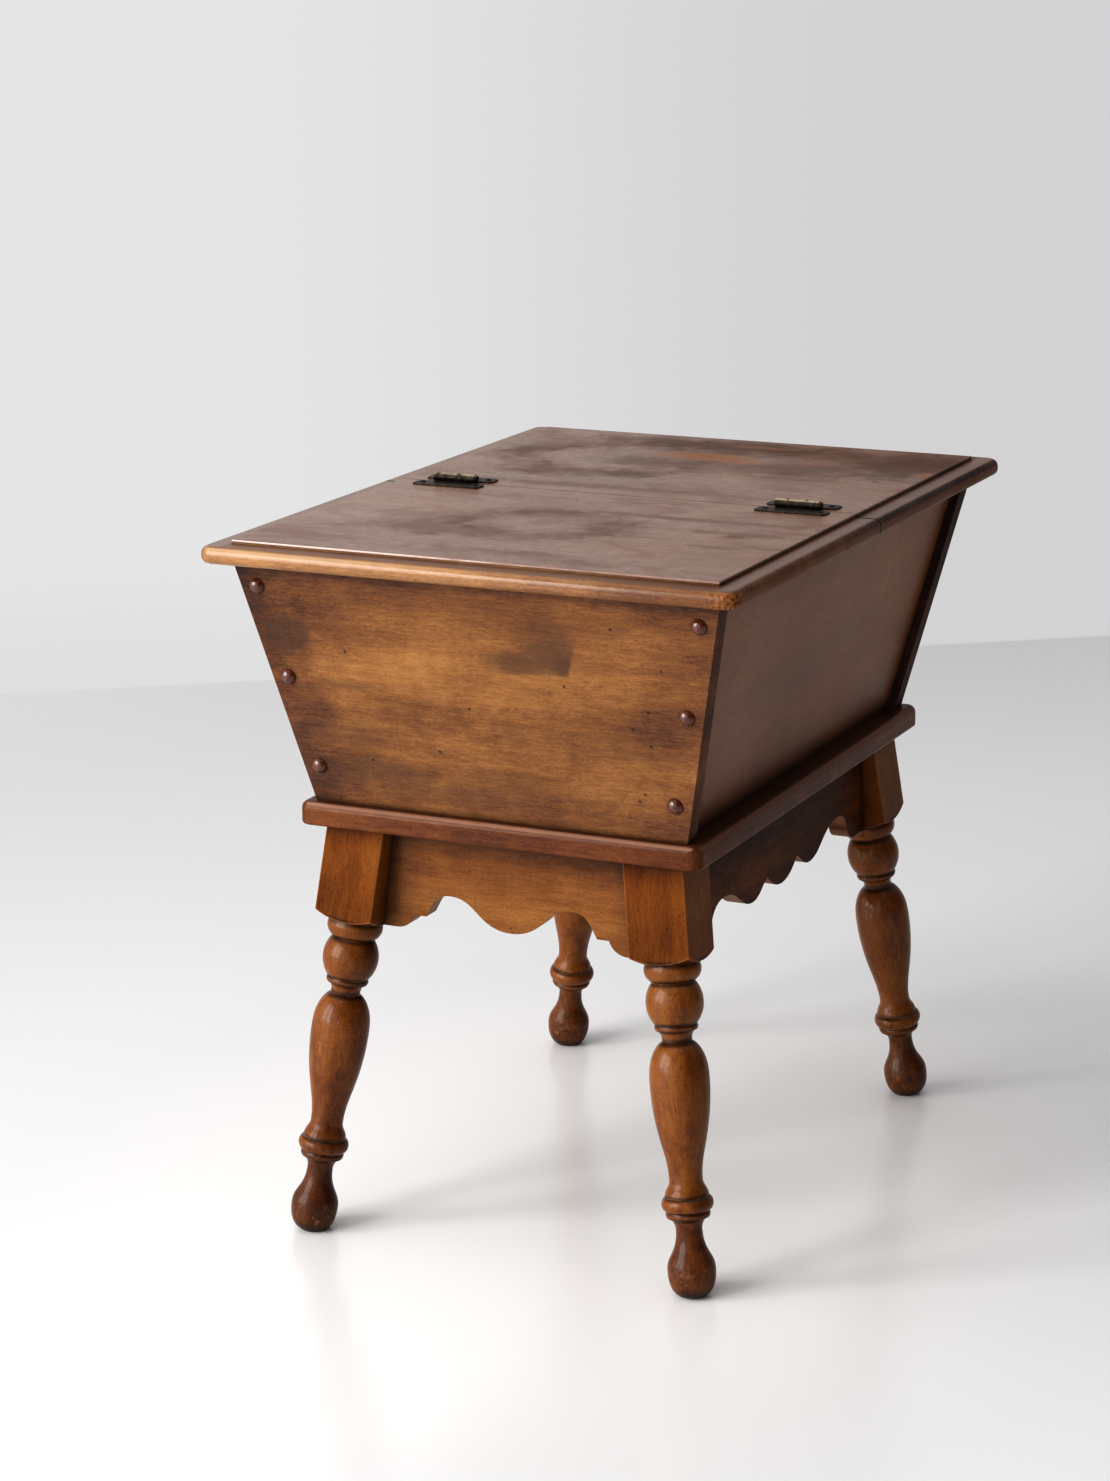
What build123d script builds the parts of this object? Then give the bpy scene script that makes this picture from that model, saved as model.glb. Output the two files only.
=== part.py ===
from build123d import *
import os
from math import cos, radians, sqrt, tan

# Sugar chest of dough-box form: a canted, pegged box under a half-hinged top,
# on a moulded base board carried by four splayed turned legs and scalloped aprons.
# Millimetres. X is the width, Y the length with the front at -Y, Z is up.
# The origin is on the floor below the middle of the chest.

os.makedirs("parts", exist_ok=True)

# Box of four canted boards
box_base_width = 301.8      # across an end panel at its foot
box_base_length = 456.0     # over both end panels at their feet
box_height = 188.0
side_cant = 12.5            # degrees that the sides lean out
end_cant = 12.85            # degrees that the ends lean out
panel_thickness = 16.0
side_recess = 7.3           # the end panels stand this far past the side panels
panel_edge_radius = 1.5

# Top, in a hinged front half and a fixed rear half
side_overhang = 19.5        # past the box at its sides
end_overhang = 20.5         # past the box at its ends
border_width = 19.5         # flat border round the raised field
border_thickness = 13.0
field_rise = 3.0
field_edge_radius = 0.8
top_corner_radius = 12.0
nose_upper_radius = 6.0
nose_lower_radius = 5.0
seam_gap = 0.8

# Base board
base_thickness = 18.0
base_side_margin = 12.2     # past the box at its sides
base_end_margin = 8.3       # past the box at its ends
base_corner_radius = 9.0
base_upper_radius = 6.0
base_lower_radius = 2.5

# Stand
stand_height = 324.0
side_splay = 6.9            # degrees that a leg leans out sideways
end_splay = 6.7             # degrees that a leg leans out endways
leg_side_inset = 42.1       # edge of the base board to the leg's centre, at the leg's top
leg_end_inset = 37.3
block_width = 48.0
block_edge_radius = 1.0
shoulder_radius = 62.0      # domed underside of the square block
shoulder_tuck = 1.5         # the turned collar runs this far up into the block

# Turned leg, member by member from the floor up
foot_tip_radius = 6.0
foot_tip_drop = 1.5         # turned tip below the floor line, cut away where the leg stands
foot_radius = 18.0
foot_swell_height = 20.0
ankle_radius = 9.8
ankle_height = 30.0
ankle_flare = 4.7
ankle_flare_height = 9.2
low_ring_radius = 15.8
low_ring_height = 4.8
ring_bulge = 0.8
torus_radius = 19.4
torus_seat_radius = 16.4
torus_height = 11.0
waist_radius = 12.4
waist_height = 12.5
vase_slope_radius = 16.7
vase_slope_height = 27.5
vase_radius = 22.2
vase_height = 45.0
vase_shoulder_radius = 18.9
vase_shoulder_height = 21.0
neck_radius = 11.2
neck_drop = 9.5
neck_height = 2.0
neck_flare = 3.1
neck_flare_height = 6.5
high_ring_radius = 15.4
high_ring_height = 4.5
ball_radius = 21.4
ball_seat_radius = 15.8
ball_height = 31.5
collar_radius = 21.2
collar_top_radius = 19.4
collar_height = 15.0

# Aprons, their lower edges given as depths below the base board
apron_thickness = 16.0
apron_setback = 28.0        # behind the edge of the base board
apron_end_depth = 80.0      # beside the legs
apron_round = 15.0          # length of the quarter round beside each leg
front_lobe_depth = 73.7
front_slope_depth = 64.0
front_slope_x = 25.0
front_peak_depth = 50.7
front_peak_x = 50.5
front_step_depth = 69.1
front_step_x = 70.5
front_step_width = 9.5
side_lobe_depth = 75.1
side_cusp_depth = 61.7
side_cusp_y = 31.0
side_swell_depth = 74.0
side_swell_y = 60.0
side_slope_depth = 61.5
side_slope_y = 92.0
side_peak_depth = 53.6
side_peak_y = 121.5
side_round_depth = 69.0
side_round_y = 145.0
tenon_length = 12.0
tenon_thickness = 9.0
tenon_height = 40.0
tenon_depth = 8.0           # top of the tenons below the base board
joint_fit = 0.1             # clearance of a glued or screwed joint

# Glue blocks, in the corners behind the aprons and under the fixed half of the top
glue_block_size = 18.0
glue_block_length = 50.0
glue_block_chamfer = 9.0
front_glue_block_inset = 115.0      # edge of the base board to a block's middle
side_glue_block_inset = 141.0
top_side_block_inset = 136.0        # end of the box to a block's middle
top_end_block_inset = 102.5         # side of the box to a block's middle

# Pegs, each over a pan-head screw in one stepped hole
peg_radius = 4.75
peg_head_radius = 6.3
peg_head_height = 4.6
peg_seat_depth = 8.5
peg_side_inset = 6.0        # behind the side panel's outer face
peg_rows = 3
peg_top_inset = 18.0
peg_bottom_inset = 29.5

# Wood screws
screw_radius = 2.0
screw_head_radius = 4.2
pan_head_height = 2.4
end_screw_length = 32.0
box_screw_length = 34.0
leg_screw_length = 58.0
leg_screw_offset = 3.0      # inward of the leg's centre
end_board_screw_inset = 91.0    # edge of the box to the outermost screw
side_board_screw_inset = 108.0

# Cleats under the hinged half
cleat_width = 32.0
cleat_depth = 16.0
cleat_inset = 74.5          # edge of the box to a cleat's middle
cleat_seam_clearance = 24.0
cleat_end_clearance = 14.0
cleat_edge_chamfer = 3.0
cleat_screw_length = 24.0
cleat_screw_count = 3
cleat_screw_pitch = 85.0

# Surface hinges across the seam
hinge_inset = 47.5          # edge of the box to a hinge's middle
leaf_length = 57.5
leaf_width = 20.5           # from the pin's axis
leaf_thickness = 1.2
leaf_corner_chamfer = 2.5
wing_gap = 5.5              # the leaf's ends stand this far off the pin's axis
knuckle_clearance = 0.8     # a leaf stands this far off the other leaf's knuckles
knuckle_root = 1.0          # a leaf reaches this near the pin's axis at its own knuckles
barrel_length = 35.5
barrel_radius = 3.6
barrel_lift = 0.3           # gap under the barrel
middle_knuckle_length = 14.5
knuckle_gap = 0.3
pin_radius = 1.5
pin_fit = 0.05
pin_head_radius = 3.0
pin_head_height = 1.9
hinge_screw_x = 22.4
hinge_screw_y = 13.0
hinge_screw_radius = 1.4
hinge_screw_head_radius = 3.1
hinge_screw_head_height = 1.2
hinge_screw_length = 11.0
slot_width = 0.8
slot_depth = 0.5

# Levels
z_base = stand_height + base_thickness
z_rim = z_base + box_height
z_border = z_rim + border_thickness
z_top = z_border + field_rise
z_pin = z_top + barrel_lift + barrel_radius

# Sizes that follow
side_board = panel_thickness / cos(radians(side_cant))
end_board = panel_thickness / cos(radians(end_cant))
base_width = box_base_width + 2 * base_side_margin
base_length = box_base_length + 2 * base_end_margin
apron_x = base_width / 2 - apron_setback
apron_y = base_length / 2 - apron_setback
leg_x = base_width / 2 - leg_side_inset
leg_y = base_length / 2 - leg_end_inset


def half_width(z):
    """Middle to an end panel's edge, at height z."""
    return box_base_width / 2 + (z - z_base) * tan(radians(side_cant))


def half_length(z):
    """Middle to an end panel's outer face, at height z."""
    return box_base_length / 2 + (z - z_base) * tan(radians(end_cant))


def side_face(z):
    """Middle to a side panel's outer face, at height z."""
    return half_width(z) - side_recess


top_width = 2 * (half_width(z_rim) + side_overhang)
top_length = 2 * (half_length(z_rim) + end_overhang)
hinge_x = half_width(z_rim) - hinge_inset
cleat_x = half_width(z_rim) - cleat_inset
top_glue_block_x = half_width(z_rim) - top_end_block_inset
top_glue_block_y = half_length(z_rim) - top_side_block_inset
front_glue_block_x = base_width / 2 - front_glue_block_inset
side_glue_block_y = base_length / 2 - side_glue_block_inset

# Planes with their normals out of the box: a side's edge line, and an end panel's two faces
edge_planes = [
    Plane(
        origin=(side * half_width(z_base), 0, z_base),
        x_dir=(0, 1, 0),
        z_dir=(side, 0, -tan(radians(side_cant))),
    )
    for side in (-1, 1)
]
inner_end_planes = [
    Plane(
        origin=(0, end * (half_length(z_base) - end_board), z_base),
        x_dir=(1, 0, 0),
        z_dir=(0, end, -tan(radians(end_cant))),
    )
    for end in (-1, 1)
]

# Peg holes, on the outer faces of the end panels, over the ends of the side panels
peg_pitch = (box_height - peg_top_inset - peg_bottom_inset) / (peg_rows - 1)
peg_heights = [z_base + peg_bottom_inset + row * peg_pitch for row in range(peg_rows)]


def peg_planes(end):
    return [
        Plane(
            origin=(side * (side_face(z) - peg_side_inset), end * half_length(z), z),
            x_dir=(1, 0, 0),
            z_dir=(0, end, -tan(radians(end_cant))),
        )
        for side in (-1, 1)
        for z in peg_heights
    ]


# Screws up through the base board into the box, and down through it into the legs
end_board_screw_x = half_width(z_base) - end_board_screw_inset
side_board_screw_y = half_length(z_base) - side_board_screw_inset
end_screw_y = half_length(z_base) - end_board / 2
side_screw_x = side_face(z_base) - side_board / 2
box_screw_points = [(x, y) for x in (-end_board_screw_x, end_board_screw_x) for y in (-end_screw_y, end_screw_y)]
box_screw_points += [
    (x, y) for x in (-side_screw_x, side_screw_x) for y in (-side_board_screw_y, 0, side_board_screw_y)
]
box_screw_planes = [Plane(origin=(x, y, stand_height), z_dir=(0, 0, -1)) for x, y in box_screw_points]
leg_screw_x = leg_x - leg_screw_offset
leg_screw_y = leg_y - leg_screw_offset
leg_screw_planes = [
    Plane(origin=(x, y, z_base)) for x in (-leg_screw_x, leg_screw_x) for y in (-leg_screw_y, leg_screw_y)
]


def flat_head_screw(length):
    """Countersunk wood screw, its head flush with the origin and its shank down -Z."""
    with BuildPart() as screw:
        with BuildSketch(Plane.XZ):
            with BuildLine():
                Polyline(
                    (0, 0),
                    (screw_head_radius, 0),
                    (screw_radius, screw_radius - screw_head_radius),
                    (screw_radius, screw_radius - length),
                    (0, -length),
                    close=True,
                )
            make_face()
        revolve(axis=Axis.Z)
    return screw.part


def save(piece, name):
    piece.part.label = name
    export_step(piece.part, f"parts/{name}.step")


def save_mirrored(piece, name, *planes):
    with BuildPart() as twin:
        add(piece.part)
        for plane in planes:
            mirror(about=plane, mode=Mode.REPLACE)
    save(twin, name)


# Base board, also the floor of the box
with BuildPart() as base_board:
    with BuildSketch(Plane.XY.offset(stand_height)):
        RectangleRounded(base_width, base_length, base_corner_radius)
    extrude(amount=base_thickness)
    fillet(base_board.faces().sort_by(Axis.Z)[-1].edges(), base_upper_radius)
    fillet(base_board.faces().sort_by(Axis.Z)[0].edges(), base_lower_radius)
    with Locations(box_screw_planes + leg_screw_planes):
        CounterSinkHole(screw_radius + joint_fit, screw_head_radius + joint_fit, counter_sink_angle=90)
save(base_board, "base_board")

# End panels, with edges that follow the sides' cant
with BuildPart() as end_panel_front:
    with BuildSketch(Plane.YZ):
        with BuildLine():
            Polyline(
                (-half_length(z_base), z_base),
                (-half_length(z_rim), z_rim),
                (end_board - half_length(z_rim), z_rim),
                (end_board - half_length(z_base), z_base),
                close=True,
            )
        make_face()
    extrude(amount=half_width(z_rim), both=True)
    for plane in edge_planes:
        split(bisect_by=plane, keep=Keep.BOTTOM)
    outer_edges = end_panel_front.faces().sort_by(Axis.Y)[0].edges()
    fillet(outer_edges.filter_by(Axis.X, reverse=True), panel_edge_radius)
    with Locations(peg_planes(-1)):
        CounterBoreHole(screw_radius + joint_fit, peg_radius + joint_fit, peg_seat_depth)
    with Locations(box_screw_planes):
        Hole(screw_radius + joint_fit, depth=box_screw_length + joint_fit)
save(end_panel_front, "end_panel_front")
save_mirrored(end_panel_front, "end_panel_rear", Plane.XZ)

# Pan-head screws of the front end panel, at the bottoms of the peg holes
with BuildPart() as pan_head_screw:
    with BuildSketch(Plane.XZ):
        with BuildLine():
            Polyline(
                (0, pan_head_height),
                (screw_head_radius, pan_head_height),
                (screw_head_radius, 0),
                (screw_radius, 0),
                (screw_radius, screw_radius - end_screw_length),
                (0, -end_screw_length),
                close=True,
            )
        make_face()
    revolve(axis=Axis.Z)
with BuildPart() as end_screws_front:
    with Locations([plane.offset(-peg_seat_depth) for plane in peg_planes(-1)]):
        add(pan_head_screw.part)
save(end_screws_front, "end_screws_front")
save_mirrored(end_screws_front, "end_screws_rear", Plane.XZ)

# Domed pegs of the front end panel
peg_shank_length = peg_seat_depth - pan_head_height - joint_fit
with BuildPart() as peg:
    with BuildSketch(Plane.XZ):
        with BuildLine():
            TangentArc((0, peg_head_height), (peg_head_radius, 0), tangent=(1, 0))
            Polyline(
                (peg_head_radius, 0),
                (peg_radius, 0),
                (peg_radius, -peg_shank_length),
                (0, -peg_shank_length),
                (0, peg_head_height),
            )
        make_face()
    revolve(axis=Axis.Z)
with BuildPart() as pegs_front:
    with Locations(peg_planes(-1)):
        add(peg.part)
save(pegs_front, "pegs_front")
save_mirrored(pegs_front, "pegs_rear", Plane.XZ)

# Side panels, between the end panels
with BuildPart() as side_panel_right:
    with BuildSketch(Plane.XZ):
        with BuildLine():
            Polyline(
                (side_face(z_base) - side_board, z_base),
                (side_face(z_base), z_base),
                (side_face(z_rim), z_rim),
                (side_face(z_rim) - side_board, z_rim),
                close=True,
            )
        make_face()
    extrude(amount=half_length(z_rim), both=True)
    for plane in inner_end_planes:
        split(bisect_by=plane, keep=Keep.BOTTOM)
    with Locations(peg_planes(-1) + peg_planes(1)):
        Hole(screw_radius + joint_fit, depth=peg_seat_depth + end_screw_length + joint_fit)
    with Locations(box_screw_planes):
        Hole(screw_radius + joint_fit, depth=box_screw_length + joint_fit)
save(side_panel_right, "side_panel_right")
save_mirrored(side_panel_right, "side_panel_left", Plane.YZ)

# Screws of the box and the legs, heads flush with the base board
box_screw = flat_head_screw(box_screw_length)
with BuildPart() as box_screws:
    with Locations(box_screw_planes):
        add(box_screw)
save(box_screws, "box_screws")

leg_screw = flat_head_screw(leg_screw_length)
with BuildPart() as leg_screws:
    with Locations(leg_screw_planes):
        add(leg_screw)
save(leg_screws, "leg_screws")


def leg_plane(side, end):
    """A leg's own frame: origin on the floor, Z up the leg, X across the chest."""
    lean_x = side * tan(radians(side_splay))
    lean_y = end * tan(radians(end_splay))
    foot = (side * leg_x + stand_height * lean_x, end * leg_y + stand_height * lean_y, 0)
    return Plane(origin=foot, x_dir=(1, 0, 0), z_dir=(-lean_x, -lean_y, 1))


def side_stop(side, end, depth):
    """Plane in a leg's block, this deep behind the face that the front or rear apron meets."""
    leg = leg_plane(side, end)
    return Plane(
        origin=leg.origin + leg.x_dir * side * (depth - block_width / 2),
        x_dir=leg.y_dir,
        z_dir=leg.x_dir * side,
    )


def end_stop(side, end, depth):
    """Plane in a leg's block, this deep behind the face that a side apron meets."""
    leg = leg_plane(side, end)
    return Plane(
        origin=leg.origin + leg.y_dir * end * (depth - block_width / 2),
        x_dir=leg.x_dir,
        z_dir=leg.y_dir * end,
    )


tenon_middle = stand_height - tenon_depth - tenon_height / 2


def front_tenons(fit):
    """Bar through the front apron that ends in its two tenons, grown by a fit."""
    with BuildPart() as bar:
        with BuildSketch(Plane.XZ.offset(apron_y - apron_thickness / 2)):
            with Locations((0, tenon_middle)):
                Rectangle(2 * leg_x + block_width, tenon_height + 2 * fit)
        extrude(amount=tenon_thickness / 2 + fit, both=True)
        for side in (-1, 1):
            split(bisect_by=side_stop(side, -1, tenon_length + fit), keep=Keep.BOTTOM)
    return bar.part


def side_tenons(fit):
    """Bar through the right apron that ends in its two tenons, grown by a fit."""
    with BuildPart() as bar:
        with BuildSketch(Plane.YZ.offset(apron_x - apron_thickness / 2)):
            with Locations((0, tenon_middle)):
                Rectangle(2 * leg_y + block_width, tenon_height + 2 * fit)
        extrude(amount=tenon_thickness / 2 + fit, both=True)
        for end in (-1, 1):
            split(bisect_by=end_stop(1, end, tenon_length + fit), keep=Keep.BOTTOM)
    return bar.part


# Heights up a leg, along its axis
s_ankle = foot_swell_height + ankle_height
s_low_ring = s_ankle + ankle_flare_height
s_torus = s_low_ring + low_ring_height
s_torus_top = s_torus + torus_height
s_waist = s_torus_top + waist_height
s_vase_slope = s_waist + vase_slope_height
s_vase = s_vase_slope + vase_height
s_vase_shoulder = s_vase + vase_shoulder_height
s_neck = s_vase_shoulder + neck_drop
s_neck_top = s_neck + neck_height
s_high_ring = s_neck_top + neck_flare_height
s_ball = s_high_ring + high_ring_height
s_collar = s_ball + ball_height
s_collar_top = s_collar + collar_height
shoulder_sag = shoulder_radius - sqrt(shoulder_radius**2 - collar_top_radius**2)
s_shoulder = s_collar_top - shoulder_tuck - shoulder_sag

# Legs: a turned shaft under a square block, cut flat at the floor and at the base board
front_right = leg_plane(1, -1)
turning_plane = Plane(origin=front_right.origin, x_dir=front_right.x_dir, z_dir=-front_right.y_dir)
leg_axis = Axis(front_right.origin, front_right.z_dir)
block_top = stand_height / cos(radians(side_splay)) + block_width
front_mortises = front_tenons(joint_fit)
side_mortises = side_tenons(joint_fit)
with BuildPart() as leg_front_right:
    with BuildSketch(front_right.offset(s_shoulder)):
        Rectangle(block_width, block_width)
    extrude(amount=block_top - s_shoulder)
    fillet(leg_front_right.edges().filter_by(leg_axis), block_edge_radius)
    with BuildSketch(turning_plane):
        with BuildLine():
            CenterArc((0, s_shoulder + shoulder_radius), shoulder_radius, -90, 90)
            Polyline(
                (shoulder_radius, s_shoulder + shoulder_radius),
                (shoulder_radius, block_top),
                (0, block_top),
                (0, s_shoulder),
            )
        make_face()
    revolve(axis=leg_axis, mode=Mode.INTERSECT)
    with BuildSketch(turning_plane):
        with BuildLine():
            Line((0, -foot_tip_drop), (foot_tip_radius, -foot_tip_drop))
            Spline(
                (foot_tip_radius, -foot_tip_drop),
                (foot_radius, foot_swell_height),
                (ankle_radius, s_ankle),
                tangents=((1, 0.3), (0, 1), (0, 1)),
            )
            flare_top = (ankle_radius + ankle_flare, s_low_ring)
            TangentArc((ankle_radius, s_ankle), flare_top, tangent=(0, 1))
            Line(flare_top, (low_ring_radius, s_low_ring))
            ThreePointArc(
                (low_ring_radius, s_low_ring),
                (low_ring_radius + ring_bulge, (s_low_ring + s_torus) / 2),
                (low_ring_radius, s_torus),
            )
            Line((low_ring_radius, s_torus), (torus_seat_radius, s_torus))
            ThreePointArc(
                (torus_seat_radius, s_torus),
                (torus_radius, (s_torus + s_torus_top) / 2),
                (torus_seat_radius, s_torus_top),
            )
            Spline((torus_seat_radius, s_torus_top), (waist_radius, s_waist), tangents=((0, 1), (0, 1)))
            Spline(
                (waist_radius, s_waist),
                (vase_slope_radius, s_vase_slope),
                (vase_radius, s_vase),
                tangents=((0, 1), (0, 1)),
            )
            Spline(
                (vase_radius, s_vase),
                (vase_shoulder_radius, s_vase_shoulder),
                (neck_radius, s_neck),
                tangents=((0, 1), (-1, 0.6)),
            )
            Line((neck_radius, s_neck), (neck_radius, s_neck_top))
            neck_flare_top = (neck_radius + neck_flare, s_high_ring)
            TangentArc((neck_radius, s_neck_top), neck_flare_top, tangent=(0, 1))
            Line(neck_flare_top, (high_ring_radius, s_high_ring))
            ThreePointArc(
                (high_ring_radius, s_high_ring),
                (high_ring_radius + ring_bulge, (s_high_ring + s_ball) / 2),
                (high_ring_radius, s_ball),
            )
            Line((high_ring_radius, s_ball), (ball_seat_radius, s_ball))
            ThreePointArc(
                (ball_seat_radius, s_ball),
                (ball_radius, (s_ball + s_collar) / 2),
                (ball_seat_radius, s_collar),
            )
            ThreePointArc(
                (ball_seat_radius, s_collar),
                (collar_radius, (s_collar + s_collar_top) / 2),
                (collar_top_radius, s_collar_top),
            )
            Line((collar_top_radius, s_collar_top), (0, s_collar_top))
            Line((0, s_collar_top), (0, -foot_tip_drop))
        make_face()
    revolve(axis=leg_axis)
    split(bisect_by=Plane.XY, keep=Keep.TOP)
    split(bisect_by=Plane.XY.offset(stand_height), keep=Keep.BOTTOM)
    add(front_mortises, mode=Mode.SUBTRACT)
    add(side_mortises, mode=Mode.SUBTRACT)
    with Locations(leg_screw_planes):
        Hole(screw_radius + joint_fit, depth=leg_screw_length + joint_fit)
save(leg_front_right, "leg_front_right")
save_mirrored(leg_front_right, "leg_front_left", Plane.YZ)
save_mirrored(leg_front_right, "leg_rear_right", Plane.XZ)
save_mirrored(leg_front_right, "leg_rear_left", Plane.YZ, Plane.XZ)

# Front and rear aprons
z_apron = stand_height - apron_end_depth
with BuildPart() as apron_front:
    with BuildSketch(Plane.XZ.offset(apron_y)):
        with BuildLine():
            step_end = front_step_x + front_step_width
            Spline(
                (0, stand_height - front_lobe_depth),
                (front_slope_x, stand_height - front_slope_depth),
                (front_peak_x, stand_height - front_peak_depth),
                tangents=((1, 0), (1, 0)),
            )
            Spline(
                (front_peak_x, stand_height - front_peak_depth),
                (front_step_x, stand_height - front_step_depth),
                tangents=((1, 0), (0.6, -1)),
            )
            Line((front_step_x, stand_height - front_step_depth), (step_end, stand_height - front_step_depth))
            TangentArc(
                (step_end + apron_round, z_apron), (step_end, stand_height - front_step_depth), tangent=(-1, 0)
            )
            Polyline((step_end + apron_round, z_apron), (leg_x, z_apron), (leg_x, stand_height), (0, stand_height))
            mirror(about=Plane.YZ)
        make_face()
    extrude(amount=-apron_thickness)
    for side in (-1, 1):
        split(bisect_by=side_stop(side, -1, 0), keep=Keep.BOTTOM)
    add(front_tenons(0))
save(apron_front, "apron_front")
save_mirrored(apron_front, "apron_rear", Plane.XZ)

# Side aprons
with BuildPart() as apron_right:
    with BuildSketch(Plane.YZ.offset(apron_x)):
        with BuildLine():
            TangentArc(
                (0, stand_height - side_lobe_depth), (side_cusp_y, stand_height - side_cusp_depth), tangent=(1, 0)
            )
            Spline(
                (side_cusp_y, stand_height - side_cusp_depth),
                (side_swell_y, stand_height - side_swell_depth),
                tangents=((1, -0.35), (1, 0)),
            )
            Spline(
                (side_swell_y, stand_height - side_swell_depth),
                (side_slope_y, stand_height - side_slope_depth),
                (side_peak_y, stand_height - side_peak_depth),
                tangents=((1, 0), (1, 0)),
            )
            Spline(
                (side_peak_y, stand_height - side_peak_depth),
                (side_round_y, stand_height - side_round_depth),
                tangents=((1, 0), (0.4, -1)),
            )
            TangentArc(
                (side_round_y + apron_round, z_apron), (side_round_y, stand_height - side_round_depth), tangent=(-1, 0)
            )
            Polyline((side_round_y + apron_round, z_apron), (leg_y, z_apron), (leg_y, stand_height), (0, stand_height))
            mirror(about=Plane.YZ)
        make_face()
    extrude(amount=-apron_thickness)
    for end in (-1, 1):
        split(bisect_by=end_stop(1, end, 0), keep=Keep.BOTTOM)
    add(side_tenons(0))
save(apron_right, "apron_right")
save_mirrored(apron_right, "apron_left", Plane.YZ)

# Glue blocks in the corners between the aprons and the base board
with BuildPart() as glue_block:
    with BuildSketch(Plane.XZ):
        with BuildLine():
            Polyline(
                (0, 0),
                (0, -glue_block_size),
                (glue_block_size - glue_block_chamfer, -glue_block_size),
                (glue_block_size, glue_block_chamfer - glue_block_size),
                (glue_block_size, 0),
                close=True,
            )
        make_face()
    extrude(amount=glue_block_length / 2, both=True)
inner_x = apron_x - apron_thickness
inner_y = apron_y - apron_thickness
glue_block_planes = []
for i in (-1, 1):
    for j in (-1, 1):
        glue_block_planes.append(
            Plane(origin=(i * inner_x, j * side_glue_block_y, stand_height), x_dir=(-i, 0, 0))
        )
        glue_block_planes.append(
            Plane(origin=(i * front_glue_block_x, j * inner_y, stand_height), x_dir=(0, -j, 0))
        )
with BuildPart() as glue_blocks:
    with Locations(glue_block_planes):
        add(glue_block.part)
save(glue_blocks, "glue_blocks")


def wall_block(inner_face, cant):
    """Glue block under the top, its back on a canted wall that stands inner_face off the middle."""
    bottom_face = inner_face - glue_block_size * tan(radians(cant))
    with BuildPart() as block:
        with BuildSketch(Plane.XZ):
            with BuildLine():
                Polyline(
                    (inner_face, z_rim),
                    (bottom_face, z_rim - glue_block_size),
                    (bottom_face + glue_block_chamfer - glue_block_size, z_rim - glue_block_size),
                    (bottom_face - glue_block_size, glue_block_chamfer - glue_block_size + z_rim),
                    (bottom_face - glue_block_size, z_rim),
                    close=True,
                )
            make_face()
        extrude(amount=glue_block_length / 2, both=True)
    return block.part


# Glue blocks that hold the fixed half of the top to the walls of the box
side_wall_block = wall_block(side_face(z_rim) - side_board, side_cant)
rear_wall_block = wall_block(half_length(z_rim) - end_board, end_cant)
with BuildPart() as top_glue_blocks:
    with Locations(
        Plane(origin=(0, top_glue_block_y, 0)),
        Plane(origin=(0, top_glue_block_y, 0), x_dir=(-1, 0, 0)),
    ):
        add(side_wall_block)
    with Locations(
        Plane(origin=(-top_glue_block_x, 0, 0), x_dir=(0, 1, 0)),
        Plane(origin=(top_glue_block_x, 0, 0), x_dir=(0, 1, 0)),
    ):
        add(rear_wall_block)
save(top_glue_blocks, "top_glue_blocks")

# Screws of the hinges, and where they go in the two halves of the top
with BuildPart() as hinge_screw:
    with BuildSketch(Plane.XZ):
        with BuildLine():
            TangentArc((0, hinge_screw_head_height), (hinge_screw_head_radius, 0), tangent=(1, 0))
            Polyline(
                (hinge_screw_head_radius, 0),
                (hinge_screw_radius, 0),
                (hinge_screw_radius, hinge_screw_radius - hinge_screw_length),
                (0, -hinge_screw_length),
                (0, hinge_screw_head_height),
            )
        make_face()
    revolve(axis=Axis.Z)
    with BuildSketch(Plane.XY.offset(hinge_screw_head_height)):
        Rectangle(2 * hinge_screw_head_radius, slot_width)
    extrude(amount=-slot_depth, mode=Mode.SUBTRACT)
z_leaf = z_top + leaf_thickness
wing_points = [(side * hinge_x + wing * hinge_screw_x, -hinge_screw_y, z_leaf) for side in (-1, 1) for wing in (-1, 1)]

with BuildPart() as lid_hinge_screws:
    with Locations(wing_points):
        add(hinge_screw.part)
save(lid_hinge_screws, "lid_hinge_screws")
save_mirrored(lid_hinge_screws, "fixed_hinge_screws", Plane.XZ)

# Screws up through the cleats into the hinged half
cleat_near = cleat_seam_clearance
cleat_far = half_length(z_rim) - end_board - cleat_end_clearance
cleat_middle = (cleat_near + cleat_far) / 2
cleat_screw_planes = [
    Plane(
        origin=(side * cleat_x, (row - (cleat_screw_count - 1) / 2) * cleat_screw_pitch - cleat_middle, z_rim - cleat_depth),
        z_dir=(0, 0, -1),
    )
    for side in (-1, 1)
    for row in range(cleat_screw_count)
]
cleat_screw = flat_head_screw(cleat_screw_length)
with BuildPart() as cleat_screws:
    with Locations(cleat_screw_planes):
        add(cleat_screw)
save(cleat_screws, "cleat_screws")

# Cleats that keep the hinged half flat
with BuildPart() as lid_cleat_right:
    with BuildSketch(Plane.XY.offset(z_rim)):
        with Locations((cleat_x, -cleat_middle)):
            Rectangle(cleat_width, cleat_far - cleat_near)
    extrude(amount=-cleat_depth)
    chamfer(lid_cleat_right.faces().sort_by(Axis.Z)[0].edges(), cleat_edge_chamfer)
    with Locations(cleat_screw_planes):
        CounterSinkHole(screw_radius + joint_fit, screw_head_radius + joint_fit, counter_sink_angle=90)
save(lid_cleat_right, "lid_cleat_right")
save_mirrored(lid_cleat_right, "lid_cleat_left", Plane.YZ)

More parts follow.
